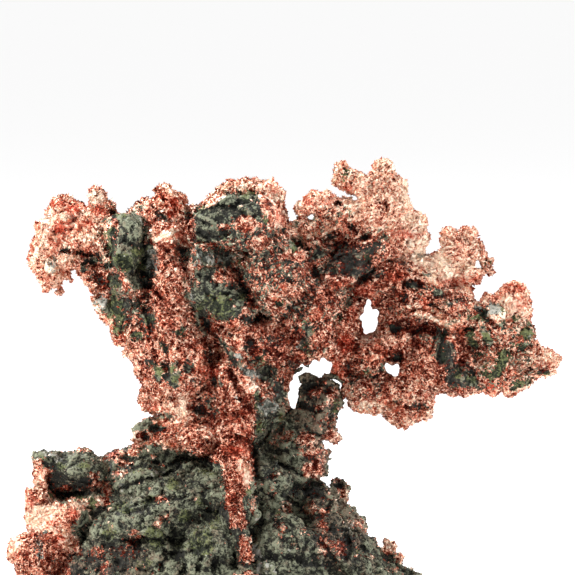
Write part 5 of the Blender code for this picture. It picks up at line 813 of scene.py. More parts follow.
# the specimen's edge as it shows from the front, clockwise from the left foot: (across, up) in mm
edge = [
    # left foot
    (-49, -8), (-50.5, 2), (-52, 5), (-53, 8), (-53.2, 9.2), (-53.5, 9.8), (-53.7, 10.4), (-53.9, 11.2),
    (-54.4, 11.6), (-55, 11.8), (-55.4, 12.2), (-55, 12.4), (-55.2, 12.8), (-55.2, 13.4), (-55.1, 14.2),
    (-55, 14.9), (-54.9, 15.6), (-54.6, 16.4), (-54.2, 16.6), (-53.6, 16.5), (-52.6, 16.6), (-52, 16.9),
    (-51.2, 16.6), (-50.8, 17), (-50.6, 17.6), (-51.4, 18), (-51.2, 18.4), (-51.4, 19), (-51.4, 19.6),
    (-51.6, 20.5), (-51.8, 21.5), (-51.8, 22), (-51.5, 22.8), (-51.7, 23.6), (-51.7, 24.4), (-51.8, 25.2),
    (-51.6, 25.8), (-51, 26.2), (-50.4, 26), (-49.8, 26.4), (-49.8, 27), (-50.2, 27.5), (-49.8, 28),
    (-50, 28.6), (-50.2, 29.4), (-50, 29.9), (-49.8, 30.4), (-50, 30.6), (-50.4, 31.2), (-50.6, 32),
    # ledge and knob
    (-50.8, 32.6), (-51.1, 33.2), (-51, 33.5), (-50.6, 33.9), (-50, 33.7), (-49.6, 33.4), (-49, 33.5),
    (-48.6, 33.9), (-48, 33.9), (-47, 33.6), (-46.5, 33.5), (-46, 33.3), (-45.5, 33.4), (-45, 34),
    (-44.6, 34.4), (-44, 34.5), (-43.6, 34.4), (-43.2, 34), (-42.5, 33.4), (-42, 33.8), (-41.4, 34),
    (-41, 34.5), (-40.2, 34.4), (-39.6, 34.2), (-39, 34), (-38.5, 33.6), (-38, 33), (-37.5, 32.6),
    (-37, 32.6), (-36, 32.8), (-35.4, 33.4), (-34.5, 33.6), (-34.2, 34.2), (-33.6, 34.2), (-32.8, 34.1),
    (-32, 34.3), (-31.2, 34.6), (-30.6, 35), (-30.2, 35.4), (-30.6, 35.8), (-30.8, 36.2), (-30.4, 36.5),
    (-30.2, 37), (-30.4, 37.4), (-30.6, 37.8), (-30.9, 38.2), (-30.2, 38.6), (-30, 39), (-29.4, 39.4),
    (-28.8, 39.6), (-28.4, 39.8), (-28, 40.1), (-27.6, 40.2), (-27, 40.5), (-26.6, 40), (-26.2, 40),
    (-26, 40.4), (-25.4, 40.8), (-24.8, 40.9), (-24.2, 40.6), (-23.6, 40.8),
    # left side
    (-24, 41.2), (-24.4, 41.7), (-25, 41.7), (-25.6, 41.4), (-26.2, 41.1), (-26.9, 41.5), (-27.4, 41.9),
    (-28, 41.9), (-28.3, 42.2), (-28.6, 42.8), (-29, 43.6), (-29.1, 44.4), (-28.9, 45.2), (-28.6, 45.8),
    (-28.2, 46.2), (-27.8, 46.4), (-28, 47), (-28.4, 47.3), (-28.6, 47.8), (-28.8, 48.3), (-29.4, 48.7),
    (-29.6, 49.2), (-29.8, 49.8), (-29.7, 50.5), (-29.9, 51.2), (-30.2, 51.8), (-30.6, 52.2), (-31, 52.6),
    (-31.6, 53), (-32.2, 53.4), (-32, 53.8), (-31.6, 54.2), (-31.3, 54.7), (-31.8, 54.9), (-32.6, 54.9),
    (-33.2, 54.8), (-33.8, 55.2), (-34, 55.8), (-34, 56.4), (-34.4, 57), (-34, 57.4), (-34.4, 58),
    (-34.4, 58.5), (-34.8, 59.2), (-35.4, 59.4), (-36.2, 59.8), (-36.6, 60.2), (-36.8, 60.6), (-36.8, 61.2),
    (-37.2, 61.6), (-37.8, 62), (-38.2, 62.6), (-38.4, 63.2), (-38.4, 64), (-38.3, 64.4), (-38, 65),
    (-38.3, 65.6), (-38.6, 66), (-39, 66.4), (-39.4, 66.8), (-39.8, 67.2), (-40.2, 68), (-40.6, 68.6),
    (-41, 69.2), (-41.4, 69.6), (-41.4, 70.5), (-41.8, 70.6), (-42.4, 70.2), (-42.8, 70.5), (-43.2, 70.3),
    # arm
    (-43.2, 70), (-42.9, 69.4), (-43, 68.8), (-42.6, 68.2), (-42.5, 67.7), (-43, 67.8), (-43.3, 68.3),
    (-43.8, 68.6), (-44.2, 68.2), (-44.5, 67.8), (-44.8, 67.4), (-44.8, 66.8), (-44.6, 66.4), (-44.4, 65.8),
    (-44.7, 65.5), (-44.8, 65), (-45.2, 65.2), (-45.6, 65.6), (-45.2, 65.8), (-45.2, 66.4), (-45.6, 66.6),
    (-46.4, 66.8), (-47, 66.6), (-47.3, 66.2), (-47.4, 65.6), (-47.8, 65.4), (-48.2, 65.8), (-48.8, 65.9),
    (-48.4, 66.4), (-48.4, 67), (-48.6, 67.6), (-49.3, 68), (-49, 68.5), (-49.2, 69), (-49.6, 69.6),
    (-50.4, 69.6), (-50.8, 70.2), (-51.3, 70.8), (-51.4, 71.5), (-51.2, 72.6), (-51.2, 73.2), (-50.8, 73.8),
    (-50.9, 74.4), (-50.5, 75.2), (-50.2, 76), (-49.8, 76.8), (-49.4, 77.8), (-49.4, 78.4), (-50, 78.9),
    (-49.9, 79.2), (-49.4, 79.3), (-48.8, 79.8), (-48.2, 80.1), (-47.6, 80.2), (-47.2, 80.4), (-47.8, 81),
    (-47.9, 81.5), (-47.5, 81.8), (-47.2, 82.2), (-46.8, 82.6), (-46.8, 83.4), (-46.3, 83.8), (-46.2, 84.2),
    (-45.8, 84.6), (-45.2, 84.8), (-44.8, 85.2), (-44.2, 85), (-43.8, 84.9), (-43, 84.8), (-42.6, 84.4),
    (-42.2, 84), (-41.6, 83.7), (-41, 83.6), (-40.4, 83.4), (-40.2, 83), (-40, 82.4), (-39.4, 82.4),
    (-38.9, 82.4), (-38.8, 83.2), (-38.9, 83.6), (-39, 84.6), (-39.1, 85.4), (-39.1, 86.2), (-38.6, 86.7),
    (-38, 86.8), (-37.4, 86.8), (-36.8, 86.5), (-36.2, 86), (-36, 85.4), (-35.6, 85.2), (-35.4, 84.9),
    (-35.7, 84.4), (-35.6, 84), (-35.3, 83.7), (-35, 83.5), (-34.8, 84), (-34.4, 83.7), (-34, 83.4),
    (-34.2, 82.9), (-34.4, 82.4), (-34, 82.2), (-33.6, 81.6), (-33.2, 81.2),
    # top of the trunk
    (-32.6, 81.3), (-32, 81.4), (-31.6, 81.2), (-31.2, 81.3), (-30.8, 81.6), (-30.5, 82), (-30.2, 82.4),
    (-29.8, 82.6), (-29.4, 83), (-29.7, 83.5), (-29.2, 83.5), (-28.8, 83.2), (-28.3, 83.6), (-28.2, 84.2),
    (-27.8, 84.4), (-27.2, 84.3), (-26.8, 84.1), (-26.4, 84.2), (-25.9, 84.3), (-25.6, 84.9), (-25.4, 85.4),
    (-25.7, 86), (-25.6, 86.4), (-25, 87), (-24, 87.1), (-23.2, 86.8), (-22.8, 86.2), (-22.2, 85.9),
    (-21.6, 85.6), (-21.2, 85.2), (-20.8, 85.6), (-20.4, 85.4), (-19.8, 84.9), (-19.5, 84.4), (-19.8, 83.9),
    (-20.2, 83.4), (-20, 82.8), (-19.4, 82.4), (-18.9, 82.9), (-18.4, 83), (-18, 82.8), (-17.6, 82.9),
    (-17, 83), (-16.6, 83.4), (-16.1, 83.4), (-15.9, 83.8), (-15.4, 84.2), (-15.1, 84.6), (-15, 85),
    (-14.5, 85), (-14.2, 85.5), (-13.8, 86), (-13.4, 86.8), (-12.8, 87), (-12.2, 87), (-11.8, 87),
    (-11.2, 87.6), (-10.6, 87.8), (-9.8, 87.8), (-9, 88.1), (-8, 88.3), (-7.4, 88.3), (-6.6, 88),
    (-5.6, 88), (-4.8, 87.8), (-4, 87.4), (-3.4, 87.7), (-2.8, 88.1), (-2.3, 88), (-2, 87.5), (-1.4, 87.2),
    (-0.8, 86.6), (-0.4, 86), (0, 85.6), (0, 85), (-0.1, 84.4), (-0.2, 83.6), (-0.3, 83), (0, 82.4),
    (0.3, 81.8), (0.4, 81.2), (0.4, 80.6), (0.5, 80), (0.8, 79.4), (1.2, 79), (1.6, 78.9), (1.6, 79.4),
    (2.2, 79.8),
    # crown
    (2.6, 79.9), (3.3, 80.6), (2.6, 81.5), (2, 82.2), (2, 83.4), (3, 83.7), (4, 83.9), (4.2, 84.8),
    (5, 84.9), (5.6, 85.6), (6.4, 85.7), (7.4, 85.4), (8.4, 86), (9.2, 85.3), (10.4, 84.6), (11.2, 84.2),
    (12, 84.6), (13, 84.4), (13.6, 84.2), (13.8, 83.7), (14.4, 83.4), (15, 84.2), (14.8, 85), (14.2, 85.4),
    (13, 85.6), (12.4, 85.3), (11.6, 85.8), (11, 86.4), (10.4, 86.9), (9.6, 87.2), (9.3, 87.8), (9.8, 88.4),
    (10.2, 89), (10, 90), (10.5, 90.8), (10.6, 91.5), (11.2, 91.9), (12, 91.8), (12.5, 91.2), (12.6, 90.4),
    (13.2, 89.9), (14.2, 90.1), (14.8, 89.5), (15.6, 89.6), (16.1, 89), (16.6, 88.6), (17.2, 89.2),
    (17.7, 90.2), (18, 91.2), (18.8, 91.8), (20, 92.1), (21.2, 92), (21.7, 91.2), (22.1, 90.2),
    (22.1, 89.2), (22.8, 88.7), (23.2, 88.9), (23.8, 88.2), (24.8, 88.2), (24.6, 87.2), (24.4, 86),
    (24.7, 84.8), (25.2, 84), (25.2, 83), (25.6, 82.4), (26, 81.7), (27, 81.4), (28, 81), (28.6, 80.4),
    (28, 79.9), (29, 79.4), (28.6, 78.9), (28, 78.7), (28.6, 77.6), (29.1, 76.9), (29, 75.9), (28.5, 75.2),
    (28, 74.2), (28, 73.2), (29, 72.9),
    # fin
    (30, 73.2), (30.8, 73.6), (31.2, 74.2), (31.8, 74.4), (31.5, 75.2), (31.3, 76.2), (31.9, 76.9),
    (31.6, 77.8), (32.2, 78.2), (32.6, 78.6), (33.4, 78.7), (34, 78), (34.6, 77.4), (35.2, 77.8),
    (35.6, 78.4), (36.6, 78.5), (37, 78), (38, 78.2), (38.8, 77.6), (38.6, 76.6), (38.8, 75.8),
    (39.6, 75.4), (40, 74.6), (40.4, 73.4), (40.4, 72.6), (41, 72.5), (41.8, 72.3), (41.9, 71.6),
    (41.6, 70.8), (41.9, 70.2), (42.2, 69.4), (42.4, 68.8), (42, 68.5), (41.4, 69), (40.6, 69.2),
    (39.9, 69), (39.7, 68.4), (39.4, 67.6), (38.8, 67.2), (38, 67.3), (37.2, 66.8), (37.6, 66.2),
    (37.4, 65.6), (37.8, 65), (37.8, 64.2), (38.4, 63.6),
    # right lobe
    (39.2, 63.5), (39.6, 64.2), (40.2, 64.8), (40, 65.4), (40.6, 65.4), (41.2, 65), (42.4, 65), (43, 65.7),
    (43.6, 66.4), (44.2, 66.9), (44.6, 67.3), (45.4, 67.6), (46.6, 67.6), (47.6, 67.2), (48.2, 66.8),
    (48.8, 66), (48.9, 65), (49.2, 64.4), (49.2, 63.2), (49.4, 62.2), (49.2, 61.2), (49.6, 60.4), (49, 60),
    (49.4, 59.3), (50, 58.6), (50.2, 57.6), (50, 56.6), (50, 55.8), (50.8, 55.3), (51.6, 54.6),
    (52.6, 54.2), (53.6, 53.9), (54.4, 53.2), (55.2, 52.6), (55.5, 52.2), (55.1, 51.4), (54.6, 50.6),
    (54.2, 50), (54.5, 49.4), (53.6, 49.2), (52.8, 48.9), (51.8, 48.6), (50.8, 48.3), (50.2, 47.8),
    (49.8, 47.2), (49.2, 46.8), (48.6, 46.2), (47.8, 46.2), (47.2, 46), (46.8, 45.4), (46.2, 45),
    (45.6, 44.4), (45.2, 44.2), (44.6, 44.8), (44.2, 45.4), (44, 46.2), (43.4, 46.3), (43.2, 45.6),
    (42.6, 45.1), (41.6, 45), (40.8, 45.3), (40, 45.7), (38.2, 45.7), (37.6, 45.3), (37, 44.9), (36, 44.8),
    (35, 44.9), (34, 44.7), (33.2, 45), (32.6, 45.5), (32, 45.8), (31.2, 45.3), (30.4, 45.1), (29.9, 44.8),
    (30.1, 44), (30, 43.2), (29.6, 42.4), (29.7, 41.4), (29.4, 40.6),
    # hanging lobe
    (28.4, 40.1), (27.4, 40), (26.4, 39.9), (25.8, 39.4), (25.2, 38.9), (24.6, 38.5), (23.6, 38.3),
    (22.8, 38.6), (22, 39), (21.4, 39.4), (20.8, 40), (20.2, 40.6), (19.8, 41), (19.2, 41.4), (18.4, 41.3),
    (17.4, 41.5), (16.4, 41.5), (15.4, 41.7), (14.8, 41.9), (14, 42.1), (13.5, 42.4), (13.4, 43.1),
    (13.1, 43.9), (12.7, 44.5), (12.3, 45.1), (12, 45.5), (11.8, 46.1), (11.9, 46.8), (11.7, 47.3),
    (11.2, 47.7), (10.5, 48.1), (10, 48.2), (9.2, 48.1), (8.5, 48.3), (8, 48.5), (8.1, 48.2), (8.7, 47.9),
    (9.2, 47.7), (9.9, 47.7), (10.5, 47.5), (10.9, 47.1), (11.3, 46.4), (11.6, 45.7), (11.7, 45.1),
    (11.9, 44.4), (12, 43.6), (12.1, 42.7), (12.1, 42.3),
    # post and right foot
    (11.7, 42.1), (11.2, 41.9), (10.9, 41.5), (10.6, 41), (10.8, 40.3), (10.9, 39.6), (10.8, 39),
    (10.4, 38.4), (10.5, 37.8), (10.9, 37.2), (11.4, 37), (11.7, 36.5), (11.6, 36.1), (11.1, 35.8),
    (10.6, 35.4), (10, 35), (9.6, 35.4), (9.2, 35.8), (8.4, 36.1), (7.7, 36.3), (7.4, 36.1), (7.8, 35.4),
    (8, 34.7), (7.9, 34), (8.7, 33.9), (9.5, 33.8), (9.4, 33.3), (8.4, 33), (8.2, 32.7), (8.9, 32.5),
    (9.3, 32), (8.8, 31.4), (8.9, 30.7), (8.9, 30), (8.8, 29.1), (8.2, 28.8), (7.5, 28.7), (6.8, 28.5),
    (6.6, 28.1), (7.4, 27.9), (8, 27.5), (8.3, 26.9), (8.7, 26.3), (9.3, 26.4), (9.3, 27), (9.4, 27.7),
    (9.8, 28.1), (10.5, 28.6), (11, 29), (11.2, 28.4), (11.9, 28), (12.4, 27.4), (12.8, 26.9), (13.3, 26.6),
    (13.3, 26.2), (12.9, 25.8), (12.9, 24.9), (12.8, 24.2), (13.3, 23.5), (13.9, 22.8), (14.4, 22.2),
    (14.7, 21.4), (15.2, 20.7), (15.9, 20.4), (16.5, 20.1), (16.1, 19.5), (16.5, 18.3), (16.4, 17.4),
    (16.8, 16.8), (17.1, 16.4), (17.7, 16.1), (18.1, 16.4), (18.6, 15.8), (18.7, 15.1), (18.7, 14.4),
    (19.3, 14.1), (19.9, 14.4), (20, 15.3), (20.2, 16), (20.8, 16.1), (21.3, 15.8), (22, 15.7), (22.3, 15),
    (22.7, 14.5), (22.3, 13.9), (22, 13.4), (22.3, 13.1), (23, 13.2), (23.6, 13.4), (23.7, 12.7),
    (23.9, 12.2), (23.7, 11.5), (23.6, 11), (24.2, 10.5), (25, 10.3), (25.9, 10.2), (26.6, 9.8),
    (27.3, 9.2), (27.9, 8.6), (29, 6.5), (30.5, 4), (31.5, -8),
]
# openings that the light comes through
openings = {
    "crown": [
        (4.6, 80.8), (5.2, 81), (5.4, 81.5), (6, 81), (6, 80.5), (5.7, 80), (5.5, 79.6), (5, 80.2),
        (4.6, 80.3),
    ],
    "fin": [
        (38.4, 72.2), (39, 72), (39.2, 71.2), (39.6, 70.6), (39, 70.2), (38.2, 70.6), (38.4, 71.4),
    ],
    "upper window": [
        (14.9, 60.6), (15.8, 61.2), (16, 62.2), (16.3, 63), (16.5, 64), (17, 64.3), (17.5, 63.8),
        (17.4, 62.8), (17.8, 62.2), (18.4, 62.3), (19, 61.9), (19.1, 61.2), (18.8, 60.4), (18.9, 59.6),
        (18.6, 58.8), (18.4, 58), (17.8, 57.5), (17, 57.4), (16.4, 56.9), (15.9, 57.5), (15.9, 58.2),
        (15.6, 58.8), (15.7, 59.6), (15.4, 60),
    ],
    "lower window": [
        (20.1, 51.2), (20.4, 51.5), (20.9, 51.2), (21.5, 50.9), (22.2, 51.1), (22.8, 51.3), (23.1, 50.6),
        (23.2, 50), (23, 49.2), (22.6, 48.6), (22, 48.6), (21.5, 49.1), (20.9, 49.3), (20.4, 49.8),
        (20.2, 50.5),
    ],
    "arch": [
        (1.7, 42.1), (1.2, 42.7), (1, 43.6), (0.8, 44.4), (0.7, 45.3), (1.1, 46), (1.05, 46.9),
        (1.2, 47.5), (1.5, 47.8), (1.8, 48.1), (1.75, 48.7), (2.05, 49.1), (2.5, 49.5), (3.2, 49.7),
        (3.5, 50), (3.75, 50.4), (4.1, 50.7), (4.45, 50.6), (4.7, 50.4), (5.05, 50.7), (5.3, 51.1),
        (5.5, 51.6), (5.9, 52.1), (6.4, 52.1), (6.7, 51.8), (7.1, 51.7), (7.3, 52.3), (7.5, 52.7),
        (7.65, 53), (7.85, 52.5), (8.4, 52.2), (8.9, 51.7), (9.4, 51.6), (9.7, 51.2), (9.8, 50.7),
        (9.5, 50.3), (9.3, 49.7), (9.1, 49.2), (8.5, 49.1), (8.1, 49.3), (7.4, 48.6), (7.05, 48.5),
        (6.5, 48.7), (6, 48.9), (5.5, 49.3), (5.05, 49.5), (4.25, 49.5), (3.8, 49.3), (3.3, 48.9),
        (2.85, 48.8), (2.95, 48.4), (3, 47.9), (3.25, 47.5), (3.55, 47.2), (3.4, 46.8), (3.05, 46.5),
        (2.8, 46.1), (2.95, 45.7), (2.85, 45.2), (2.7, 44.4), (2.65, 43.6), (2.4, 42.9), (2.2, 42.3),
    ],
}

lift = math.radians(look["lift"])
forward = np.array((0.0, math.cos(lift), -math.sin(lift)))
upward = np.array((0.0, math.sin(lift), math.cos(lift)))
aim = np.array(look["aim"])
eye = aim - forward * look["distance"]


def pictured(co):   # where points show from the front: mm across and mm up, in the plane through the aim
    ray = co - eye
    depth = ray @ forward
    across = aim[0] / mm + ray[:, 0] / depth * look["distance"] / mm
    return across, aim[2] / mm + ray @ upward / depth * look["distance"] / mm


def sweep(across, up, reach):   # the point that shows at (across, up), `reach` behind the middle
    target = aim + np.array((across * mm - aim[0], 0, 0)) + upward * (up * mm - aim[2])
    ray = target - eye
    return eye + ray * (reach - eye[1]) / ray[1]


def withinLine(across, up, line):   # True where a point lies inside a closed line
    order = np.argsort(up)
    sortedUp = up[order]
    inside = np.zeros(len(up), bool)
    for (x0, z0), (x1, z1) in zip(line, line[1:] + line[:1]):
        low, high = np.searchsorted(sortedUp, (min(z0, z1), max(z0, z1)))
        if high > low:
            some = order[low:high]
            crossing = x0 + (up[some] - z0) * (x1 - x0) / (z1 - z0)
            inside[some] ^= across[some] < crossing
    return inside


def ragged(line, gap, jitter, seed):   # the same closed line with small teeth
    rng = np.random.default_rng(seed)
    points = []
    for (x0, z0), (x1, z1) in zip(line, line[1:] + line[:1]):
        count = max(1, round(math.hypot(x1 - x0, z1 - z0) / gap))
        points += [(x0 + (x1 - x0) * k / count, z0 + (z1 - z0) * k / count) for k in range(count)]
    shifts = rng.uniform(-jitter, jitter, (len(points), 2))
    return [(x + dx, z + dz) for (x, z), (dx, dz) in zip(points, shifts)]


edgeTeeth = {"gap": 0.40, "jitter": 0.42, "seed": 61}   # mm
openingTeeth = {"gap": 0.4, "jitter": 0.12, "seed": 62}
raggedEdge = ragged(edge, **edgeTeeth)
raggedOpenings = [ragged(line, **openingTeeth) for line in openings.values()]


def pastEdge(co):   # True where a point shows outside the specimen's edge or in an opening
    across, up = pictured(co)
    outside = ~withinLine(across, up, raggedEdge)
    for line in raggedOpenings:
        outside |= withinLine(across, up, line)
    return outside


# how much of what stood past the edge is folded in, in patches of this size
wallFold = {"size": 6 * mm, "middle": 0.5, "swing": 2.0, "most": 1.5, "seed": 71}
clearOpening = 0.05   # mm that may stand into an opening


# takes points past the edge back towards home, until `most` mm or less stand past it;
# fold turns some of what stood past it inwards, so that the walls along the edge aren't straight
def drawBack(mesh, home, most, fold=0.0):
    co = readCorners(mesh)
    share = np.ones(len(co))
    outside = np.nonzero(pastEdge(co))[0]
    away = co[outside] - home[outside]
    low, high = np.zeros(len(outside)), np.ones(len(outside))
    for _ in range(5):
        middle = (low + high) / 2
        out = pastEdge(home[outside] + away * middle[:, None])
        high = np.where(out, middle, high)
        low = np.where(out, low, middle)
    reach = np.linalg.norm(away, axis=1)
    across, up = pictured(co[outside])
    beyond = withinLine(across, up, raggedEdge)   # these stand in an opening, which stays clear
    most = np.where(beyond, clearOpening, np.broadcast_to(most, len(co))[outside])
    waves = softWaves(home[outside], wallFold["size"], wallFold["seed"])
    inward = fold * np.clip(wallFold["middle"] + wallFold["swing"] * waves, 0, wallFold["most"])
    share[outside] = np.minimum(1, low + most * mm / np.maximum(reach, 1e-9)) - inward * (1 - low)
    writeCorners(mesh, home + (co - home) * share[:, None])


def softStep(value):
    blend = np.clip(value, 0, 1)
    return blend * blend * (3 - 2 * blend)


def gapToPath(across, up, path):   # how far each point is from a line of points
    least = np.full(len(across), 1e9)
    for (x0, z0), (x1, z1) in zip(path, path[1:]):
        length = max((x1 - x0) ** 2 + (z1 - z0) ** 2, 1e-9)   # squared
        along = np.clip(((across - x0) * (x1 - x0) + (up - z0) * (z1 - z0)) / length, 0, 1)
        least = np.minimum(least, np.hypot(across - x0 - along * (x1 - x0), up - z0 - along * (z1 - z0)))
    return least


def nearBox(across, up, points, border):   # the points that can be touched by a form
    xs, zs = zip(*points)
    chosen = (across > min(xs) - border) & (across < max(xs) + border)
    chosen &= (up > min(zs) - border) & (up < max(zs) + border)
    return np.nonzero(chosen)[0]


def reachOf(across, up, x, z, halfWidth, halfHeight, lean):   # 0 at the middle of a patch and 1 at its rim
    c, s = math.cos(math.radians(lean)), math.sin(math.radians(lean))
    dx, dz = across - x, up - z
    return np.hypot((dx * c + dz * s) / halfWidth, (dz * c - dx * s) / halfHeight)


def patchShare(across, up, patches, rim=0.8):   # 0 to 1: the share that the patches give at each point
    field = np.zeros(len(across))
    for patch in patches:
        if len(patch) == 2:
            share, line = patch
            some = nearBox(across, up, line, 2 * rim)
            gap = gapToPath(across[some], up[some], line + line[:1])
            inside = np.where(withinLine(across[some], up[some], line), gap, -gap)
        else:
            x, z, halfWidth, halfHeight, lean, share = patch
            size = max(halfWidth, halfHeight)
            some = nearBox(across, up, [(x - size, z - size), (x + size, z + size)], 2 * rim)
            inside = (1.0 - reachOf(across[some], up[some], *patch[:5])) * min(halfWidth, halfHeight)
        field[some] = np.maximum(field[some], softStep(inside / (2 * rim) + 0.5) * share)
    return field


# how strongly the painted shade of the strokes shows below and above the mound's top, and how far their lines
# wander
strokeLook = {"moundTop": 31, "onMound": 0.5, "above": 0.8, "wander": 0.35, "size": 2.2 * mm}


# painted shade along the lines that are cut in, and painted light on the raised ones
def strokeShade(across, up):   # above zero in the lines that are cut in, and below zero on the raised ones
    field = np.zeros(len(across))
    for depth, halfWidth, shade, path in strokes:
        some = nearBox(across, up, path, 1.6 * halfWidth)
        weight = strokeLook["onMound"] if path[0][1] < strokeLook["moundTop"] else strokeLook["above"]
        field[some] += softStep(1.4 - gapToPath(across[some], up[some], path) / halfWidth) * shade * weight
    return np.clip(field, -0.6, 1)


def carve(mesh):   # cuts the strokes in and lifts the knolls, on the side that faces the viewer
    co, normals = readCorners(mesh), readNormals(mesh)
    across, up = pictured(co)
    across = across + strokeLook["wander"] * softWaves(co, strokeLook["size"], 31)
    up = up + strokeLook["wander"] * softWaves(co, strokeLook["size"], 32)
    facing = np.clip(-(normals @ forward) * 2 - 0.3, 0, 1)
    push = np.zeros(len(co))
    for depth, halfWidth, shade, path in strokes:
        some = nearBox(across, up, path, 1.6 * halfWidth)
        push[some] += softStep(1.3 - gapToPath(across[some], up[some], path) / halfWidth) * depth
    for x, z, halfWidth, halfHeight, lean, height in knolls:
        size = max(halfWidth, halfHeight)
        some = nearBox(across, up, [(x - size, z - size), (x + size, z + size)], 1.0)
        reach = reachOf(across[some], up[some], x, z, halfWidth, halfHeight, lean)
        push[some] -= np.sqrt(np.clip(1.15 - reach ** 2, 0, 1)) * height
    push = np.clip(push, -1.4, 2.4)
    co += forward * (push * facing * mm)[:, None]
    writeCorners(mesh, co)


def setAttribute(mesh, name, values):
    layer = mesh.attributes.get(name) or mesh.attributes.new(name, "FLOAT", "POINT")
    layer.data.foreach_set("value", np.asarray(values, np.float32))


def readCorners(mesh):
    co = np.empty(len(mesh.vertices) * 3)
    mesh.vertices.foreach_get("co", co)
    return co.reshape(-1, 3)


def writeCorners(mesh, co):
    mesh.vertices.foreach_set("co", co.ravel())
    mesh.update()


def readNormals(mesh):
    normals = np.empty(len(mesh.vertices) * 3)
    mesh.vertex_normals.foreach_get("vector", normals)
    return normals.reshape(-1, 3)


def softWaves(co, size, seed):   # a cheap smooth pattern for the sides that the patches don't reach
    total = np.zeros(len(co))
    rng = np.random.default_rng(seed)
    for octave in range(5):
        turn = rng.normal(size=(3, 3))
        phase = rng.uniform(0, 6.283, 3)
        waves = np.sin(co @ turn.T / (size / (1.0 + 0.6 * octave)) * 3.0 + phase)
        total += waves.sum(1) / (1.0 + 0.5 * octave)
    return total / 6.0


# how far the patches stray, in mm, and in waves of what size
wander = {"wide": 0.35, "wideSize": 3.2 * mm, "narrow": 0.45, "narrowSize": 1.1 * mm}


# loose: every part of the mesh is "copper" or "rock", wherever it sits
def paint(mesh, kind, loose=None, mound=False):
    co, normals = readCorners(mesh), readNormals(mesh)
    across, up = pictured(co)
    shade = strokeShade(across, up)
    for axis, seed in ((across, 21), (up, 23)):
        axis += (wander["wide"] * softWaves(co, wander["wideSize"], seed)
                 + wander["narrow"] * softWaves(co, wander["narrowSize"], seed + 1))
    facing = np.clip(0.5 - normals[:, 1] * 1.6 - co[:, 1] / (14 * mm), 0, 1)   # 1 at the front, 0 at the back
    if loose:
        facing = np.clip(0.5 - co[:, 1] / (6 * mm), 0, 1)
    epidote = patchShare(across, up, epidotePatches)
    calcite = patchShare(across, up, calcitePatches)
    wild = softWaves(co, 9 * mm, 11)
    wilder = softWaves(co, 6 * mm, 12)
    rock = np.full(len(co), 0.95) if mound else 0.08 + 0.90 * patchShare(across, up, rockPatches)
    rock = rock * (1 - patchShare(across, up, copperPatches))
    if kind == "copper":
        backRock = 0.42 + 0.75 * wild
    else:
        backRock = 0.9 - 0.8 * np.maximum(wild - 0.2, 0)
    rock = np.maximum(rock, np.maximum(epidote, calcite)) * facing
    rock = rock + np.clip(backRock, 0.05, 0.97) * (1 - facing)
    epidote = epidote * facing + np.clip(wilder * 1.2 - 0.5, 0, 0.9) * (1 - facing)
    calcite = calcite * facing + np.clip(softWaves(co, 7 * mm, 13) * 1.4 - 0.8, 0, 0.9) * (1 - facing)
    if loose == "copper":
        rock, epidote, calcite = (np.zeros(len(co)) for _ in range(3))
    if loose == "rock":
        rock = np.ones(len(co))
    rust = patchShare(across, up, rustPatches, 1.2) * facing + 0.3 * (1 - facing)
    if not loose:
        rock = rock * (1 - 0.22 * rust * facing)
    setAttribute(mesh, "rock", rock)
    setAttribute(mesh, "epidote", epidote)
    setAttribute(mesh, "calcite", calcite)
    setAttribute(mesh, "rust", rust)
    setAttribute(mesh, "foil", patchShare(across, up, foilPatches, 1.0) * facing)
    setAttribute(mesh, "red", patchShare(across, up, redPatches) * facing)
    # painted light: lit pale patches at the front, and a little all over the back
    setAttribute(mesh, "paintedLight", patchShare(across, up, paintedLightPatches, 1.0) * facing + 0.1 * (1 - facing))
    # painted shade: shade patches and strokes at the front, and random shade over the back
    farShade = np.clip(0.35 + 0.9 * softWaves(co, 12 * mm, 14), 0, 0.9)
    paintedShade = np.clip(patchShare(across, up, paintedShadePatches, 0.8) + shade, -0.6, 1.2)
    setAttribute(mesh, "paintedShade", paintedShade * facing + farShade * (1 - facing))


def markRidges(mesh):   # 0.5 on even ground, more on ridges and less in hollows
    co, normals = readCorners(mesh), readNormals(mesh)
    ends = np.empty(len(mesh.edges) * 2, np.int64)
    mesh.edges.foreach_get("vertices", ends)
    a, b = ends[0::2], ends[1::2]
    links = np.bincount(a, minlength=len(co)) + np.bincount(b, minlength=len(co))
    soft = co.copy()
    total = np.full(len(co), 0.5)
    done = 0
    for rounds, weight in ((3, 0.14), (14, 0.16), (50, 0.10)):
        for _ in range(rounds - done):
            for axis in range(3):
                around = np.bincount(a, soft[b, axis], len(co)) + np.bincount(b, soft[a, axis], len(co))
                soft[:, axis] = 0.5 * soft[:, axis] + 0.5 * around / np.maximum(links, 1)
        done = rounds
        height = ((co - soft) * normals).sum(1)
        total += weight * height / height.std()
    setAttribute(mesh, "ridge", np.clip(total, 0, 1))


# materials
# the palest metal colour is a painted highlight, metal blown pale by the light
copperLook = {
    "light": (1.0, 0.62, 0.44), "middle": (0.90, 0.37, 0.24), "red": (0.42, 0.075, 0.038),
    "dark": (0.10, 0.018, 0.012),
    "bleached": (1.0, 0.84, 0.68), "vivid": (0.82, 0.075, 0.035), "ruddy": (0.78, 0.22, 0.13),
    "roughness": 0.34,
}
rockLook = {
    "dark": (0.011, 0.011, 0.007), "middle": (0.070, 0.075, 0.045), "pale": (0.26, 0.275, 0.185),
    "rust": (0.22, 0.115, 0.075), "roughness": 0.75,
}
epidoteLook = {"dark": (0.016, 0.024, 0.007), "light": (0.15, 0.17, 0.045)}
calciteLook = {"grey": (0.09, 0.10, 0.08), "white": (0.48, 0.47, 0.41)}
# sizes of the grains, of the clusters that they make, and of what else breaks up the surface, among them the
# painted glints and the painted shadow gaps of the metal
speckle = {"grain": 0.45 * mm, "cluster": 1.6 * mm, "slow": 5.5 * mm, "strand": 0.42 * mm, "glintStrand": 0.95 * mm,
           "gap": 0.75 * mm, "crack": 1.5 * mm, "lip": 2.6 * mm}


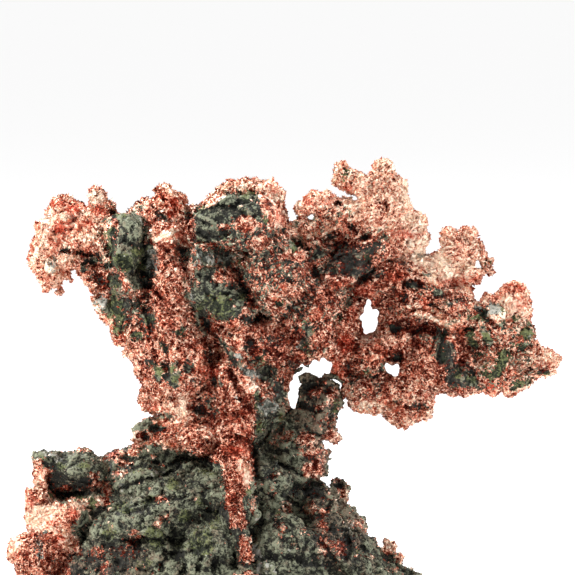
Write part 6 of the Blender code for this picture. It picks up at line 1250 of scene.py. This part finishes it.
def shaded(tree, value, colours, **places):   # runs through the named colours, each at its place
    node = tree.nodes.new("ShaderNodeValToRGB")
    tree.links.new(value, node.inputs[0])
    while len(node.color_ramp.elements) < len(places):
        node.color_ramp.elements.new(1.0)
    for element, (name, place) in zip(node.color_ramp.elements, places.items()):
        element.position = place
        element.color = (*colours[name], 1.0)
    return node.outputs[0]


def makeOreMaterial(name):
    material = bpy.data.materials.new(name)
    material.use_nodes = True
    tree = material.node_tree
    shader = tree.nodes["Principled BSDF"]
    coords = addNode(tree, "ShaderNodeTexCoord").outputs["Object"]

    def attribute(label):
        return addNode(tree, "ShaderNodeAttribute", attribute_name=label).outputs["Fac"]

    def around(value, by):   # the value swings by this much either way
        return times(tree, minus(tree, value, 0.5), by)

    grain = cloud(tree, coords, speckle["grain"], 2.0, 0.6)
    cluster = cloud(tree, coords, speckle["cluster"], 2.0, 0.6)
    slow = cloud(tree, coords, speckle["slow"], 2.0, 0.5)

    # strands of three directions, each in places of its own
    def strands(turn, size):
        turned = addNode(tree, "ShaderNodeMapping", {
            "Vector": coords, "Rotation": (0.3, turn, 0.2), "Scale": (0.6, 0.6, 1.9),
        }, vector_type="TEXTURE").outputs[0]
        return cloud(tree, turned, size, 2.0, 0.7, 0.6)

    def woven(size):
        first = step(tree, cloud(tree, coords, 1.9 * mm, 1.0), 0.46, 0.50)
        second = step(tree, cloud(tree, coords, 2.3 * mm, 1.0), 0.50, 0.54)
        both = blendColour(tree, first, strands(0.2, size), strands(1.3, size))
        return blendColour(tree, second, both, strands(-0.9, size))

    fine = woven(speckle["strand"])
    ridge = attribute("ridge")

    # single grains of metal and rock cross the rims of the patches
    speck = plus(tree, times(tree, grain, 0.6), times(tree, cluster, 0.4))
    over = minus(tree, speck, timesPlus(tree, attribute("rock"), -0.42, 0.71))
    rockShare = step(tree, over, -0.012, 0.012)
    over = minus(tree, speck, timesPlus(tree, attribute("epidote"), -0.42, 0.72))
    epidoteShare = step(tree, over, -0.06, 0.06, 0.0, 0.8)
    over = minus(tree, cluster, timesPlus(tree, attribute("calcite"), -0.5, 0.75))
    calciteShare = step(tree, over, -0.03, 0.03)

    # metal: painted highlights on the ridges; dark red in the hollows, partly painted shade and partly red oxide
    foil = attribute("foil")
    # bright strands are painted glints, and the dark gaps between them painted shade
    glintStrands = step(tree, calc(tree, "ABSOLUTE", around(woven(speckle["glintStrand"]), 1.0)), 0.06, 0.02)
    shadowGaps = step(tree, cloud(tree, coords, speckle["gap"], 3.0, 0.65, 1.0), 0.52, 0.62)
    raised = timesPlus(tree, ridge, 0.85, 0.08)
    tone = plus(tree, raised, times(tree, around(fine, 2.1), timesPlus(tree, foil, -0.72, 1.0)))
    tone = plus(tree, tone, plus(tree, around(cluster, 0.5), around(slow, 0.7)))
    shadowGaps = times(tree, shadowGaps, timesPlus(tree, attribute("paintedLight"), -0.6, 1.0))
    net = minus(tree, times(tree, glintStrands, 0.42), times(tree, shadowGaps, 0.45))
    tone = plus(tree, tone, times(tree, net, timesPlus(tree, foil, -0.85, 1.0)))
    # painted shade darkens the metal and painted light makes it paler; rust darkens it a little
    tone = minus(tree, tone, times(tree, attribute("paintedShade"), 0.36))
    tone = minus(tree, tone, times(tree, attribute("rust"), 0.16))
    tone = plus(tree, tone, times(tree, attribute("paintedLight"), 0.32))
    metal = shaded(tree, tone, copperLook, dark=0.24, red=0.44, middle=0.64, light=0.84, bleached=1.0)
    ruddy = shaded(tree, tone, copperLook, dark=0.22, red=0.50, ruddy=0.80, light=1.05)
    metal = blendColour(tree, step(tree, cloud(tree, coords, 2.6 * mm, 3.0, 0.6), 0.50, 0.62), metal, ruddy)
    # painted highlight: metal blown pale where the painted light is strong
    bleach = step(tree, attribute("paintedLight"), 0.35, 1.0)
    bleach = times(tree, bleach, timesPlus(tree, foil, 0.3, step(tree, tone, 0.5, 1.0)))
    bleach = calc(tree, "MINIMUM", bleach, 1.0)
    metal = blendColour(tree, times(tree, bleach, 0.85), metal, copperLook["bleached"])
    vivid = shaded(tree, tone, copperLook, red=0.25, vivid=0.55, middle=1.0)
    metal = blendColour(tree, times(tree, attribute("red"), step(tree, cluster, 0.25, 0.45)), metal, vivid)

    # rock: painted shade in the creases, with painted light on what stands out
    rockTone = plus(tree, plus(tree, ridge, around(grain, 0.8)), around(slow, 0.6))
    rockTone = plus(tree, rockTone, around(fine, 1.9))
    bent = vectorCalc(tree, "ADD", coords, scaled(tree, addNode(tree, "ShaderNodeTexNoise", {
        "Vector": coords, "Scale": 1.0 / (1.2 * mm), "Detail": 1.0}).outputs["Color"], 1.0 * mm))
    crack = step(tree, cells(tree, bent, speckle["crack"], "DISTANCE_TO_EDGE"), 0.09, 0.0)
    lip = minus(tree, cells(tree, bent, speckle["lip"], "DISTANCE_TO_EDGE"), 0.10)
    lip = step(tree, calc(tree, "ABSOLUTE", lip), 0.06, 0.0)
    rockTone = plus(tree, rockTone, minus(tree, times(tree, lip, 0.14), times(tree, crack, 0.22)))
    # painted shade darkens the rock and painted light makes it paler
    rockTone = minus(tree, rockTone, times(tree, attribute("paintedShade"), 0.46))
    rockTone = plus(tree, rockTone, times(tree, attribute("paintedLight"), 0.30))
    rock = shaded(tree, rockTone, rockLook, dark=0.22, middle=0.50, pale=0.86)
    warm = times(tree, step(tree, cloud(tree, coords, 2.4 * mm, 3.0, 0.7), 0.50, 0.66), 0.45)
    warm = timesPlus(tree, attribute("rust"), step(tree, cluster, 0.30, 0.56, 0.0, 0.6), warm)
    warm = calc(tree, "MINIMUM", warm, 1.0)
    rock = blendColour(tree, warm, rock, shaded(tree, rockTone, rockLook, dark=0.25, rust=0.8))
    green = blendColour(tree, step(tree, rockTone, 0.3, 0.8), epidoteLook["dark"], epidoteLook["light"])
    rock = blendColour(tree, epidoteShare, rock, green)
    pale = blendColour(tree, step(tree, rockTone, 0.3, 0.8), calciteLook["grey"], calciteLook["white"])
    rock = blendColour(tree, calciteShare, rock, pale)

    tree.links.new(blendColour(tree, rockShare, metal, rock), shader.inputs["Base Color"])
    metalShare = minus(tree, 1.0, rockShare)
    # where the highlight is painted the metal is less metallic
    tree.links.new(times(tree, metalShare, timesPlus(tree, bleach, -0.3, 1.0)), shader.inputs["Metallic"])
    matt = timesPlus(tree, grain, 0.3, copperLook["roughness"] - 0.15)
    dull = minus(tree, rockLook["roughness"], times(tree, calciteShare, 0.25))
    rough = plus(tree, times(tree, matt, metalShare), times(tree, dull, rockShare))
    tree.links.new(rough, shader.inputs["Roughness"])
    height = plus(tree, times(tree, fine, 0.5), grain)
    bump = addNode(tree, "ShaderNodeBump", {"Height": height, "Strength": 1.0, "Distance": 0.3 * mm})
    tree.links.new(bump.outputs[0], shader.inputs["Normal"])
    return material


oreMaterial = makeOreMaterial("copperInBasalt")
print("specimen: materials made")


# relief that follows every surface
def makeReliefTree():
    tree = newGeometryTree("specimenRelief", (
        ("Lump height", 0.9 * mm), ("Hackle height", 0.8 * mm),
        ("Rock height", 1.0 * mm), ("Foot", 1.5 * mm)))
    given = addNode(tree, "NodeGroupInput").outputs
    place = addNode(tree, "GeometryNodeInputPosition").outputs[0]
    normal = addNode(tree, "GeometryNodeInputNormal").outputs[0]
    rock = named(tree, "rock")

    def centred(value, middle, by):   # a pattern as a move in metres
        return times(tree, minus(tree, value, middle), by)

    noise = {"Vector": place, "Scale": 1.0 / (2.0 * mm), "Detail": 2.0}
    drift = addNode(tree, "ShaderNodeTexNoise", noise).outputs[1]
    drift = vectorCalc(tree, "SUBTRACT", drift, (0.5, 0.5, 0.5))
    bend = vectorCalc(tree, "ADD", place, scaled(tree, drift, 1.8 * mm))
    lumps = cloud(tree, place, 3.6 * mm, 2.0, 0.5)
    knots = cloud(tree, bend, 1.7 * mm, 2.0, 0.6)
    rockShare = step(tree, plus(tree, rock, centred(knots, 0.5, 0.8)), 0.35, 0.65)

    def chips(size, gain):   # every cell is a flat chip with its own height and tilt
        node = addNode(tree, "ShaderNodeTexVoronoi", {"Vector": bend, "Scale": 1.0 / size})
        turn = vectorCalc(tree, "SUBTRACT", node.outputs["Color"], (0.5, 0.5, 0.5))
        within = vectorCalc(tree, "SUBTRACT", bend, node.outputs["Position"])
        slope = addNode(tree, "ShaderNodeVectorMath", {0: turn, 1: within}, operation="DOT_PRODUCT")
        slope = slope.outputs["Value"]
        high = addNode(tree, "ShaderNodeSeparateXYZ", {0: turn}).outputs[0]
        return plus(tree, times(tree, slope, gain / size), times(tree, high, 0.35))

    # torn metal: a net of sharp ridges with pits between
    foil = named(tree, "foil")
    net = calc(tree, "ABSOLUTE", centred(cloud(tree, bend, 1.0 * mm, 3.0, 0.65), 0.5, 5.0))
    pits = step(tree, cells(tree, bend, 0.9 * mm), 0.1, 0.7)
    torn = plus(tree, times(tree, net, -0.6), times(tree, pits, 0.35))
    torn = timesPlus(tree, plus(tree, torn, 0.12), timesPlus(tree, foil, -0.75, 1.0), -0.12)
    torn = plus(tree, torn, times(tree, chips(1.8 * mm, 1.6), foil))
    metalMove = centred(torn, -0.12, given["Hackle height"])
    metalMove = plus(tree, metalMove, centred(lumps, 0.5, times(tree, given["Lump height"], 3.0)))
    metalMove = plus(tree, metalMove, centred(knots, 0.5, times(tree, given["Lump height"], 1.6)))

    # broken rock: blocks, chips on the blocks, and crumbs on the chips
    crumbs = cloud(tree, place, 0.9 * mm, 3.0, 0.7)
    blocks = minus(tree, 1.0, cells(tree, bend, 4.2 * mm))
    broken = timesPlus(tree, blocks, 0.40, times(tree, crumbs, 0.60))
    broken = plus(tree, broken, chips(4.2 * mm, 0.9))
    broken = plus(tree, broken, chips(1.7 * mm, 0.8))
    rockMove = centred(broken, 0.6, given["Rock height"])
    rockMove = plus(tree, rockMove, centred(lumps, 0.5, times(tree, given["Lump height"], 2.4)))

    up = addNode(tree, "ShaderNodeSeparateXYZ", {0: place}).outputs[2]
    metalShare = minus(tree, 1.0, rockShare)
    out = plus(tree, times(tree, metalMove, metalShare), times(tree, rockMove, rockShare))
    out = times(tree, out, step(tree, up, 0.2 * mm, given["Foot"]))
    offset = scaled(tree, normal, out)
    moved = addNode(tree, "GeometryNodeSetPosition", {"Geometry": given["Geometry"], "Offset": offset})
    addNode(tree, "NodeGroupOutput", {"Geometry": moved.outputs[0]})
    return tree


def setInput(modifier, label, value):
    for item in modifier.node_group.interface.items_tree:
        if item.item_type == "SOCKET" and item.in_out == "INPUT" and item.name == label:
            modifier[item.identifier] = value
            return
    raise KeyError(label)


def showObject(name, mesh):
    obj = bpy.data.objects.new(name, mesh)
    bpy.context.scene.collection.objects.link(obj)
    return obj


def settle(obj):   # puts the result of the modifiers into the mesh
    graph = bpy.context.evaluated_depsgraph_get()
    made = bpy.data.meshes.new_from_object(obj.evaluated_get(graph))
    obj.modifiers.clear()
    old = obj.data
    obj.data = made
    bpy.data.meshes.remove(old)


def countTriangles(mesh):
    mesh.calc_loop_triangles()
    return len(mesh.loop_triangles)


def mergedCopy(nodeName):
    bm = bmesh.new()
    bm.from_mesh(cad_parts[nodeName].data)
    bmesh.ops.remove_doubles(bm, verts=bm.verts[:], dist=weldGap)
    return bm


reliefTree = makeReliefTree()

# the bodies of the pieces
# kind, cell of the skin in mm, most triangles, and the heights of the reliefs in mm
bodies = {
    "copper_trunk": {
        "kind": "copper", "voxel": 0.30, "limit": 196000, "lump": 0.5, "hackle": 0.8, "rock": 0.9},
    "copper_left_arm": {
        "kind": "copper", "voxel": 0.22, "limit": 90000, "lump": 0.4, "hackle": 0.8, "rock": 0.7},
    "copper_crown": {
        "kind": "copper", "voxel": 0.24, "limit": 100000, "lump": 0.4, "hackle": 0.8, "rock": 0.7},
    "copper_right_branch": {
        "kind": "copper", "voxel": 0.26, "limit": 190000, "lump": 0.5, "hackle": 0.8, "rock": 0.8},
    "copper_foot": {
        "kind": "copper", "voxel": 0.26, "limit": 80000, "lump": 0.5, "hackle": 0.8, "rock": 0.7},
    "rock_base": {
        "kind": "rock", "voxel": 0.30, "limit": 196000, "lump": 0.6, "hackle": 0.8, "rock": 1.15},
    "rock_ledge": {
        "kind": "rock", "voxel": 0.26, "limit": 40000, "lump": 0.5, "hackle": 0.7, "rock": 0.9},
    "rock_knob": {
        "kind": "rock", "voxel": 0.24, "limit": 12000, "lump": 0.3, "hackle": 0.5, "rock": 0.8},
    "rock_boulder_left": {
        "kind": "rock", "voxel": 0.24, "limit": 36000, "lump": 0.4, "hackle": 0.5, "rock": 0.8},
    "rock_boulder_centre": {
        "kind": "rock", "voxel": 0.24, "limit": 40000, "lump": 0.4, "hackle": 0.5, "rock": 0.8},
    "rock_boulder_lower": {
        "kind": "rock", "voxel": 0.24, "limit": 30000, "lump": 0.4, "hackle": 0.5, "rock": 0.8},
    "rock_chunk_middle": {
        "kind": "rock", "voxel": 0.24, "limit": 30000, "lump": 0.4, "hackle": 0.5, "rock": 0.8},
    "rock_chunk_right": {
        "kind": "rock", "voxel": 0.24, "limit": 24000, "lump": 0.4, "hackle": 0.5, "rock": 0.8},
    "calcite_left": {
        "kind": "calcite", "voxel": 0.20, "limit": 6000, "lump": 0.2, "hackle": 0.3, "rock": 0.5},
    "calcite_side": {
        "kind": "calcite", "voxel": 0.20, "limit": 6000, "lump": 0.2, "hackle": 0.3, "rock": 0.5},
    "calcite_waist": {
        "kind": "calcite", "voxel": 0.20, "limit": 6000, "lump": 0.2, "hackle": 0.3, "rock": 0.5},
    "calcite_right": {
        "kind": "calcite", "voxel": 0.20, "limit": 6000, "lump": 0.2, "hackle": 0.3, "rock": 0.5},
}
smoothRounds = 3
weldGap = 0.002 * mm
# mm that a body lies back from where the frame has it, so that the metal closes over its rim
sink = {
    "rock_boulder_lower": 1.3, "rock_chunk_middle": 0.9, "rock_boulder_centre": 0.4, "rock_chunk_right": 0.6,
    "rock_knob": 0.3, "calcite_left": 0.8, "calcite_side": 0.6, "calcite_right": 0.3, "calcite_waist": 0.4,
}
mound = ("rock_base", "rock_ledge")   # rock through and through; elsewhere metal and rock take turns
# mm that each body grows before it is cut to the edge
swell = {"copper": 0.25, "rock": 0.45, "calcite": 0.2}


def keepInside(obj):   # nothing leaves the box of the specimen
    writeCorners(obj.data, np.clip(readCorners(obj.data), np.array(cadLow), np.array(cadHigh)))


cutterReach = 60 * mm   # in front of and behind the middle


def makeCutter(name, line):   # a closed line swept along the lines of sight, right through the specimen
    bm = bmesh.new()
    near = [bm.verts.new(sweep(x, z, -cutterReach)) for x, z in line]
    far = [bm.verts.new(sweep(x, z, cutterReach)) for x, z in line]
    bm.faces.new(near)
    bm.faces.new(far[::-1])
    for k in range(len(line)):
        j = (k + 1) % len(line)
        bm.faces.new((near[k], far[k], far[j], near[j]))
    bmesh.ops.triangulate(bm, faces=bm.faces[:])
    bmesh.ops.recalc_face_normals(bm, faces=bm.faces[:])
    mesh = bpy.data.meshes.new(name)
    bm.to_mesh(mesh)
    bm.free()
    cutter = showObject(name, mesh)
    cutter.hide_render = True
    return cutter


edgeCutter = makeCutter("cutEdge", edge)
openingCutters = [makeCutter("cut" + name.title().replace(" ", ""), line) for name, line in openings.items()]


def cutWith(obj, cutter, operation):
    cut = obj.modifiers.new("cut", "BOOLEAN")
    cut.object = cutter
    cut.operation = operation
    cut.solver = "MANIFOLD"
    settle(obj)


def makeBody(nodeName, plan):
    bm = mergedCopy(nodeName)
    bmesh.ops.translate(bm, verts=bm.verts[:], vec=forward * (sink.get(nodeName, 0) * mm))
    mesh = bpy.data.meshes.new(nodeName)
    bm.to_mesh(mesh)
    bm.free()
    obj = showObject("look_" + nodeName, mesh)
    grow = obj.modifiers.new("grow", "DISPLACE")
    grow.strength = swell[plan["kind"]] * mm
    grow.mid_level = 0.0
    skin = obj.modifiers.new("skin", "REMESH")
    skin.mode = "VOXEL"
    skin.voxel_size = plan["voxel"] * mm
    settle(obj)
    cutWith(obj, edgeCutter, "INTERSECT")
    for cutter in openingCutters:
        cutWith(obj, cutter, "DIFFERENCE")
    soften = obj.modifiers.new("soften", "SMOOTH")
    soften.factor = 0.5
    soften.iterations = smoothRounds
    settle(obj)
    carve(obj.data)
    paint(obj.data, plan["kind"], None, nodeName in mound)
    home = readCorners(obj.data)
    relief = obj.modifiers.new("relief", "NODES")
    relief.node_group = reliefTree
    setInput(relief, "Lump height", plan["lump"] * mm)
    setInput(relief, "Hackle height", plan["hackle"] * mm)
    setInput(relief, "Rock height", plan["rock"] * mm)
    settle(obj)
    drawBack(obj.data, home, 0.0, 1.0)
    total = countTriangles(obj.data)
    if total > plan["limit"]:
        thin = obj.modifiers.new("thin", "DECIMATE")
        thin.ratio = plan["limit"] / total
        settle(obj)
    keepInside(obj)
    paint(obj.data, plan["kind"], None, nodeName in mound)
    markRidges(obj.data)
    obj.data.materials.clear()
    obj.data.materials.append(oreMaterial)
    if plan["kind"] == "copper":
        obj.data.shade_flat()
    else:
        obj.data.shade_smooth()
    return obj, total


made = {}
for nodeName, plan in bodies.items():
    made[nodeName], total = makeBody(nodeName, plan)
    print("specimen:", nodeName, total, "->", countTriangles(made[nodeName].data))


# torn flakes of metal and crumbs of rock
def makeShape(name, corners, faces=None):   # a closed shape; without faces it is the hull of its corners
    bm = bmesh.new()
    verts = [bm.verts.new(corner) for corner in corners]
    if faces:
        for face in faces:
            bm.faces.new([verts[k] for k in face])
    else:
        bmesh.ops.convex_hull(bm, input=verts)
    bmesh.ops.recalc_face_normals(bm, faces=bm.faces[:])
    mesh = bpy.data.meshes.new(name)
    bm.to_mesh(mesh)
    bm.free()
    obj = showObject(name, mesh)
    obj.hide_render = True
    return obj


def makeFlake(name, width, thick, bend):   # a bent leaf, 8 faces, 1 long
    corners = [
        (-0.5, 0, 0), (0.5, 0, bend * 0.6),
        (0, width, bend * 0.3), (0.08, 0, bend + thick), (-0.05, -width, bend * 0.2), (0, 0, bend - thick),
    ]
    ring = [2, 3, 4, 5]
    faces = [(0, ring[(k + 1) % 4], ring[k]) for k in range(4)]
    faces += [(1, ring[k], ring[(k + 1) % 4]) for k in range(4)]
    return makeShape(name, corners, faces)


def makeCrumb(name, seed):   # an angular grain, about 1 across
    rng = np.random.default_rng(seed)
    around = rng.normal(size=(9, 3))
    around /= np.linalg.norm(around, axis=1)[:, None]
    return makeShape(name, [tuple(v) for v in around * rng.uniform(0.38, 0.56, (9, 1)) * (1, 0.85, 0.7)])


flakes = [
    makeFlake("flakeA", 0.30, 0.06, 0.14),
    makeFlake("flakeB", 0.42, 0.05, -0.16),
    makeFlake("flakeC", 0.20, 0.08, 0.22),
]
crumbs = [makeCrumb("crumbA", 3), makeCrumb("crumbB", 4), makeCrumb("crumbC", 8)]


def makeScatterTree(name, shapes, ofRock):
    tree = newGeometryTree(name, (
        ("Density", 1.0), ("Smallest", 0.4 * mm), ("Largest", 1.1 * mm), ("Wildness", 1.6), ("Seed", 1)))
    given = addNode(tree, "NodeGroupInput").outputs
    rock = named(tree, "rock")
    place = addNode(tree, "GeometryNodeInputPosition").outputs[0]
    up = addNode(tree, "ShaderNodeSeparateXYZ", {0: place}).outputs[2]
    share = step(tree, rock, 0.45, 0.95) if ofRock else calc(tree, "POWER", minus(tree, 1.0, rock), 1.2)
    share = times(tree, share, step(tree, up, 0.8 * mm, 1.6 * mm))
    density = times(tree, share, times(tree, given["Density"], 1e6))
    spread = addNode(tree, "GeometryNodeDistributePointsOnFaces", {
        "Mesh": given["Geometry"], "Density": density, "Seed": given["Seed"]})
    bundle = tree.nodes.new("GeometryNodeJoinGeometry")
    for shape in reversed(shapes):
        info = addNode(tree, "GeometryNodeObjectInfo", {"Object": shape})
        one = addNode(tree, "GeometryNodeGeometryToInstance", {0: info.outputs["Geometry"]})
        tree.links.new(one.outputs[0], bundle.inputs[0])

    def randomValue(kind, low, high, offset):
        sockets = {"FLOAT": (2, 3, 1), "FLOAT_VECTOR": (0, 1, 0), "INT": (4, 5, 2)}[kind]
        seed = plus(tree, given["Seed"], float(offset))
        node = addNode(tree, "FunctionNodeRandomValue", data_type=kind)
        for socket, value in ((sockets[0], low), (sockets[1], high), ("Seed", seed)):
            feed(tree, node.inputs[socket], value)
        return node.outputs[sockets[2]]

    anyWay = scaled(tree, randomValue("FLOAT_VECTOR", (-1, -1, -1), (1, 1, 1), 3), given["Wildness"])
    aimed = vectorCalc(tree, "ADD", spread.outputs["Normal"], anyWay)
    turned = addNode(tree, "FunctionNodeAlignRotationToVector", {"Vector": aimed}, axis="X")
    roll = addNode(tree, "ShaderNodeCombineXYZ", {0: randomValue("FLOAT", 0.0, 6.283, 4)})
    turnBy = addNode(tree, "FunctionNodeEulerToRotation", {0: roll.outputs[0]}).outputs[0]
    rolled = addNode(tree, "FunctionNodeRotateRotation", {
        "Rotation": turned.outputs[0], "Rotate By": turnBy}, rotation_space="LOCAL")
    many = addNode(tree, "GeometryNodeInstanceOnPoints", {
        "Points": spread.outputs["Points"], "Instance": bundle.outputs[0], "Pick Instance": True,
        "Instance Index": randomValue("INT", 0, len(shapes) - 1, 7), "Rotation": rolled.outputs[0],
        "Scale": randomValue("FLOAT", given["Smallest"], given["Largest"], 5)})
    toned = addNode(tree, "GeometryNodeStoreNamedAttribute", {
        "Geometry": many.outputs[0], "Name": "ridge", "Value": randomValue("FLOAT", 0.25, 0.95, 6),
    }, data_type="FLOAT", domain="INSTANCE")
    placed = addNode(tree, "GeometryNodeStoreNamedAttribute", {
        "Geometry": toned.outputs[0], "Name": "home", "Value": place,
    }, data_type="FLOAT_VECTOR", domain="INSTANCE")
    real = addNode(tree, "GeometryNodeRealizeInstances", {0: placed.outputs[0]})
    dressed = addNode(tree, "GeometryNodeSetMaterial", {"Geometry": real.outputs[0], "Material": oreMaterial})
    addNode(tree, "NodeGroupOutput", {"Geometry": dressed.outputs[0]})
    return tree


flakeTree = makeScatterTree("tornFlakes", flakes, False)
crumbTree = makeScatterTree("rockCrumbs", crumbs, True)
# host: sets of (tree, density a square mm, smallest and largest in mm, wildness, seed)
scatterPlan = {
    "copper_trunk": [
        ("copper", 1.6, 0.8, 1.9, 1.4, 5), ("copper", 1.7, 0.6, 1.4, 1.4, 25), ("rock", 1.0, 0.3, 0.9, 1.0, 45)],
    "copper_left_arm": [("copper", 3.4, 0.6, 1.7, 1.4, 6)],
    "copper_crown": [("copper", 3.4, 0.6, 1.7, 1.4, 7)],
    "copper_right_branch": [("copper", 3.4, 0.6, 1.7, 1.4, 8), ("rock", 1.2, 0.3, 0.9, 1.0, 48)],
    "copper_foot": [("copper", 3.4, 0.6, 1.7, 1.4, 9)],
    "rock_base": [("copper", 2.4, 0.5, 1.3, 1.4, 10), ("rock", 1.1, 0.35, 1.1, 1.0, 50)],
    "rock_ledge": [("copper", 3.0, 0.5, 1.2, 1.4, 11), ("rock", 1.6, 0.3, 0.9, 1.0, 51)],
    "rock_boulder_left": [("copper", 2.0, 0.5, 1.2, 1.4, 12), ("rock", 1.6, 0.3, 0.8, 1.0, 52)],
    "rock_boulder_centre": [("copper", 3.0, 0.5, 1.2, 1.4, 13), ("rock", 1.6, 0.3, 0.8, 1.0, 53)],
    "rock_boulder_lower": [("copper", 3.0, 0.5, 1.2, 1.4, 14), ("rock", 1.6, 0.3, 0.8, 1.0, 54)],
    "rock_chunk_middle": [("copper", 3.0, 0.5, 1.2, 1.4, 15), ("rock", 1.6, 0.3, 0.8, 1.0, 55)],
    "rock_chunk_right": [("copper", 3.0, 0.5, 1.2, 1.4, 16), ("rock", 1.6, 0.3, 0.8, 1.0, 56)],
}


stickOut = {"copper": 1.4, "rock": 0.4}   # mm that a flake or a crumb may stand past the edge


def scatterOn(host, name, kind, density, smallest, largest, wildness, seed):
    obj = showObject(name, host.data.copy())
    modifier = obj.modifiers.new("scatter", "NODES")
    modifier.node_group = flakeTree if kind == "copper" else crumbTree
    setInput(modifier, "Density", density)
    setInput(modifier, "Smallest", smallest * mm)
    setInput(modifier, "Largest", largest * mm)
    setInput(modifier, "Wildness", wildness)
    setInput(modifier, "Seed", seed)
    settle(obj)
    home = np.empty(len(obj.data.vertices) * 3)
    obj.data.attributes["home"].data.foreach_get("vector", home)
    home = home.reshape(-1, 3)
    chance = np.sin(home @ (12.9898, 78.233, 37.719) * 4000) * 43758.5   # another number for every flake
    drawBack(obj.data, home, 0.05 + stickOut[kind] * (chance - np.floor(chance)) ** 1.6)
    obj.data.attributes.remove(obj.data.attributes["home"])
    keepInside(obj)
    paint(obj.data, kind, kind)
    return obj


scattered = {}
for hostName, sets in scatterPlan.items():
    for number, plan in enumerate(sets):
        name = ("flakes_" if plan[0] == "copper" else "crumbs_") + hostName
        if number:
            name += "_%d" % number
        scattered[name] = scatterOn(made[hostName], name, *plan)
        print("specimen:", name, countTriangles(scattered[name].data))

for shape in flakes + crumbs + openingCutters + [edgeCutter]:
    bpy.data.objects.remove(shape, do_unlink=True)

# every piece rides with the specimen
for nodeName, obj in made.items():
    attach(obj, "root")
    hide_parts(nodeName)
for name, obj in scattered.items():
    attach(obj, "root")
pieces = list(made.values()) + list(scattered.values())
print("specimen: triangles in all", sum(countTriangles(obj.data) for obj in pieces))


# floor, light and camera
# name: place in metres, size in metres, light on the specimen, colour
lamps = {
    "softboxLeft": ((-0.55, -0.20, 0.35), 0.35, 3.2, (1.0, 0.98, 0.95)),
    "softboxRight": ((0.55, -0.05, 0.35), 0.30, 2.4, (1.0, 1.0, 1.0)),
    "softboxTop": ((-0.10, 0.05, 0.65), 0.40, 2.0, (1.0, 1.0, 1.0)),
}
sunlight = {"strength": 3.35, "angle": 30, "from": (-0.35, 0.75, 0.85)}
skylight = 0.26
lampAim = Vector((0, 0, 0.06))
floorHalf = 22.0   # metres


def makeStage():
    bm = bmesh.new()
    bmesh.ops.create_grid(bm, x_segments=1, y_segments=1, size=floorHalf)
    floorMesh = bpy.data.meshes.new("floor")
    bm.to_mesh(floorMesh)
    bm.free()
    floor = showObject("floor", floorMesh)
    material = bpy.data.materials.new("paleFloor")
    material.use_nodes = True
    shader = material.node_tree.nodes["Principled BSDF"]
    shader.inputs["Base Color"].default_value = (0.96, 0.96, 0.96, 1)
    shader.inputs["Roughness"].default_value = 1.0
    shader.inputs["Specular IOR Level"].default_value = 0.0
    floor.data.materials.append(material)

    world = bpy.data.worlds.new("studio")
    world.use_nodes = True
    bpy.context.scene.world = world
    background = world.node_tree.nodes["Background"]
    background.inputs["Color"].default_value = (1.0, 1.0, 1.0, 1)
    background.inputs["Strength"].default_value = skylight

    def addLamp(name, kind, place, power, colour=(1, 1, 1)):
        lamp = bpy.data.lights.new(name, kind)
        lamp.energy = power
        lamp.color = colour
        obj = bpy.data.objects.new(name, lamp)
        obj.location = place
        obj.rotation_euler = (lampAim - Vector(place)).to_track_quat("-Z", "Y").to_euler()
        bpy.context.scene.collection.objects.link(obj)
        return lamp

    for name, (place, size, light, colour) in lamps.items():
        reach = (Vector(place) - lampAim).length
        addLamp(name, "AREA", place, light * math.pi * reach ** 2, colour).size = size
    sun = addLamp("sunBehind", "SUN", sunlight["from"], sunlight["strength"])
    sun.angle = math.radians(sunlight["angle"])

    camera = bpy.data.objects.new("camera", bpy.data.cameras.new("camera"))
    camera.data.lens = look["lens"]
    camera.data.sensor_width = look["film"]
    camera.location = eye
    camera.rotation_euler = Vector(forward).to_track_quat("-Z", "Y").to_euler()
    camera.data.clip_start = 0.01
    camera.data.clip_end = 100.0
    bpy.context.scene.collection.objects.link(camera)
    bpy.context.scene.camera = camera
    bpy.context.scene.view_settings.view_transform = "Standard"


makeStage()
print("specimen: stage set")
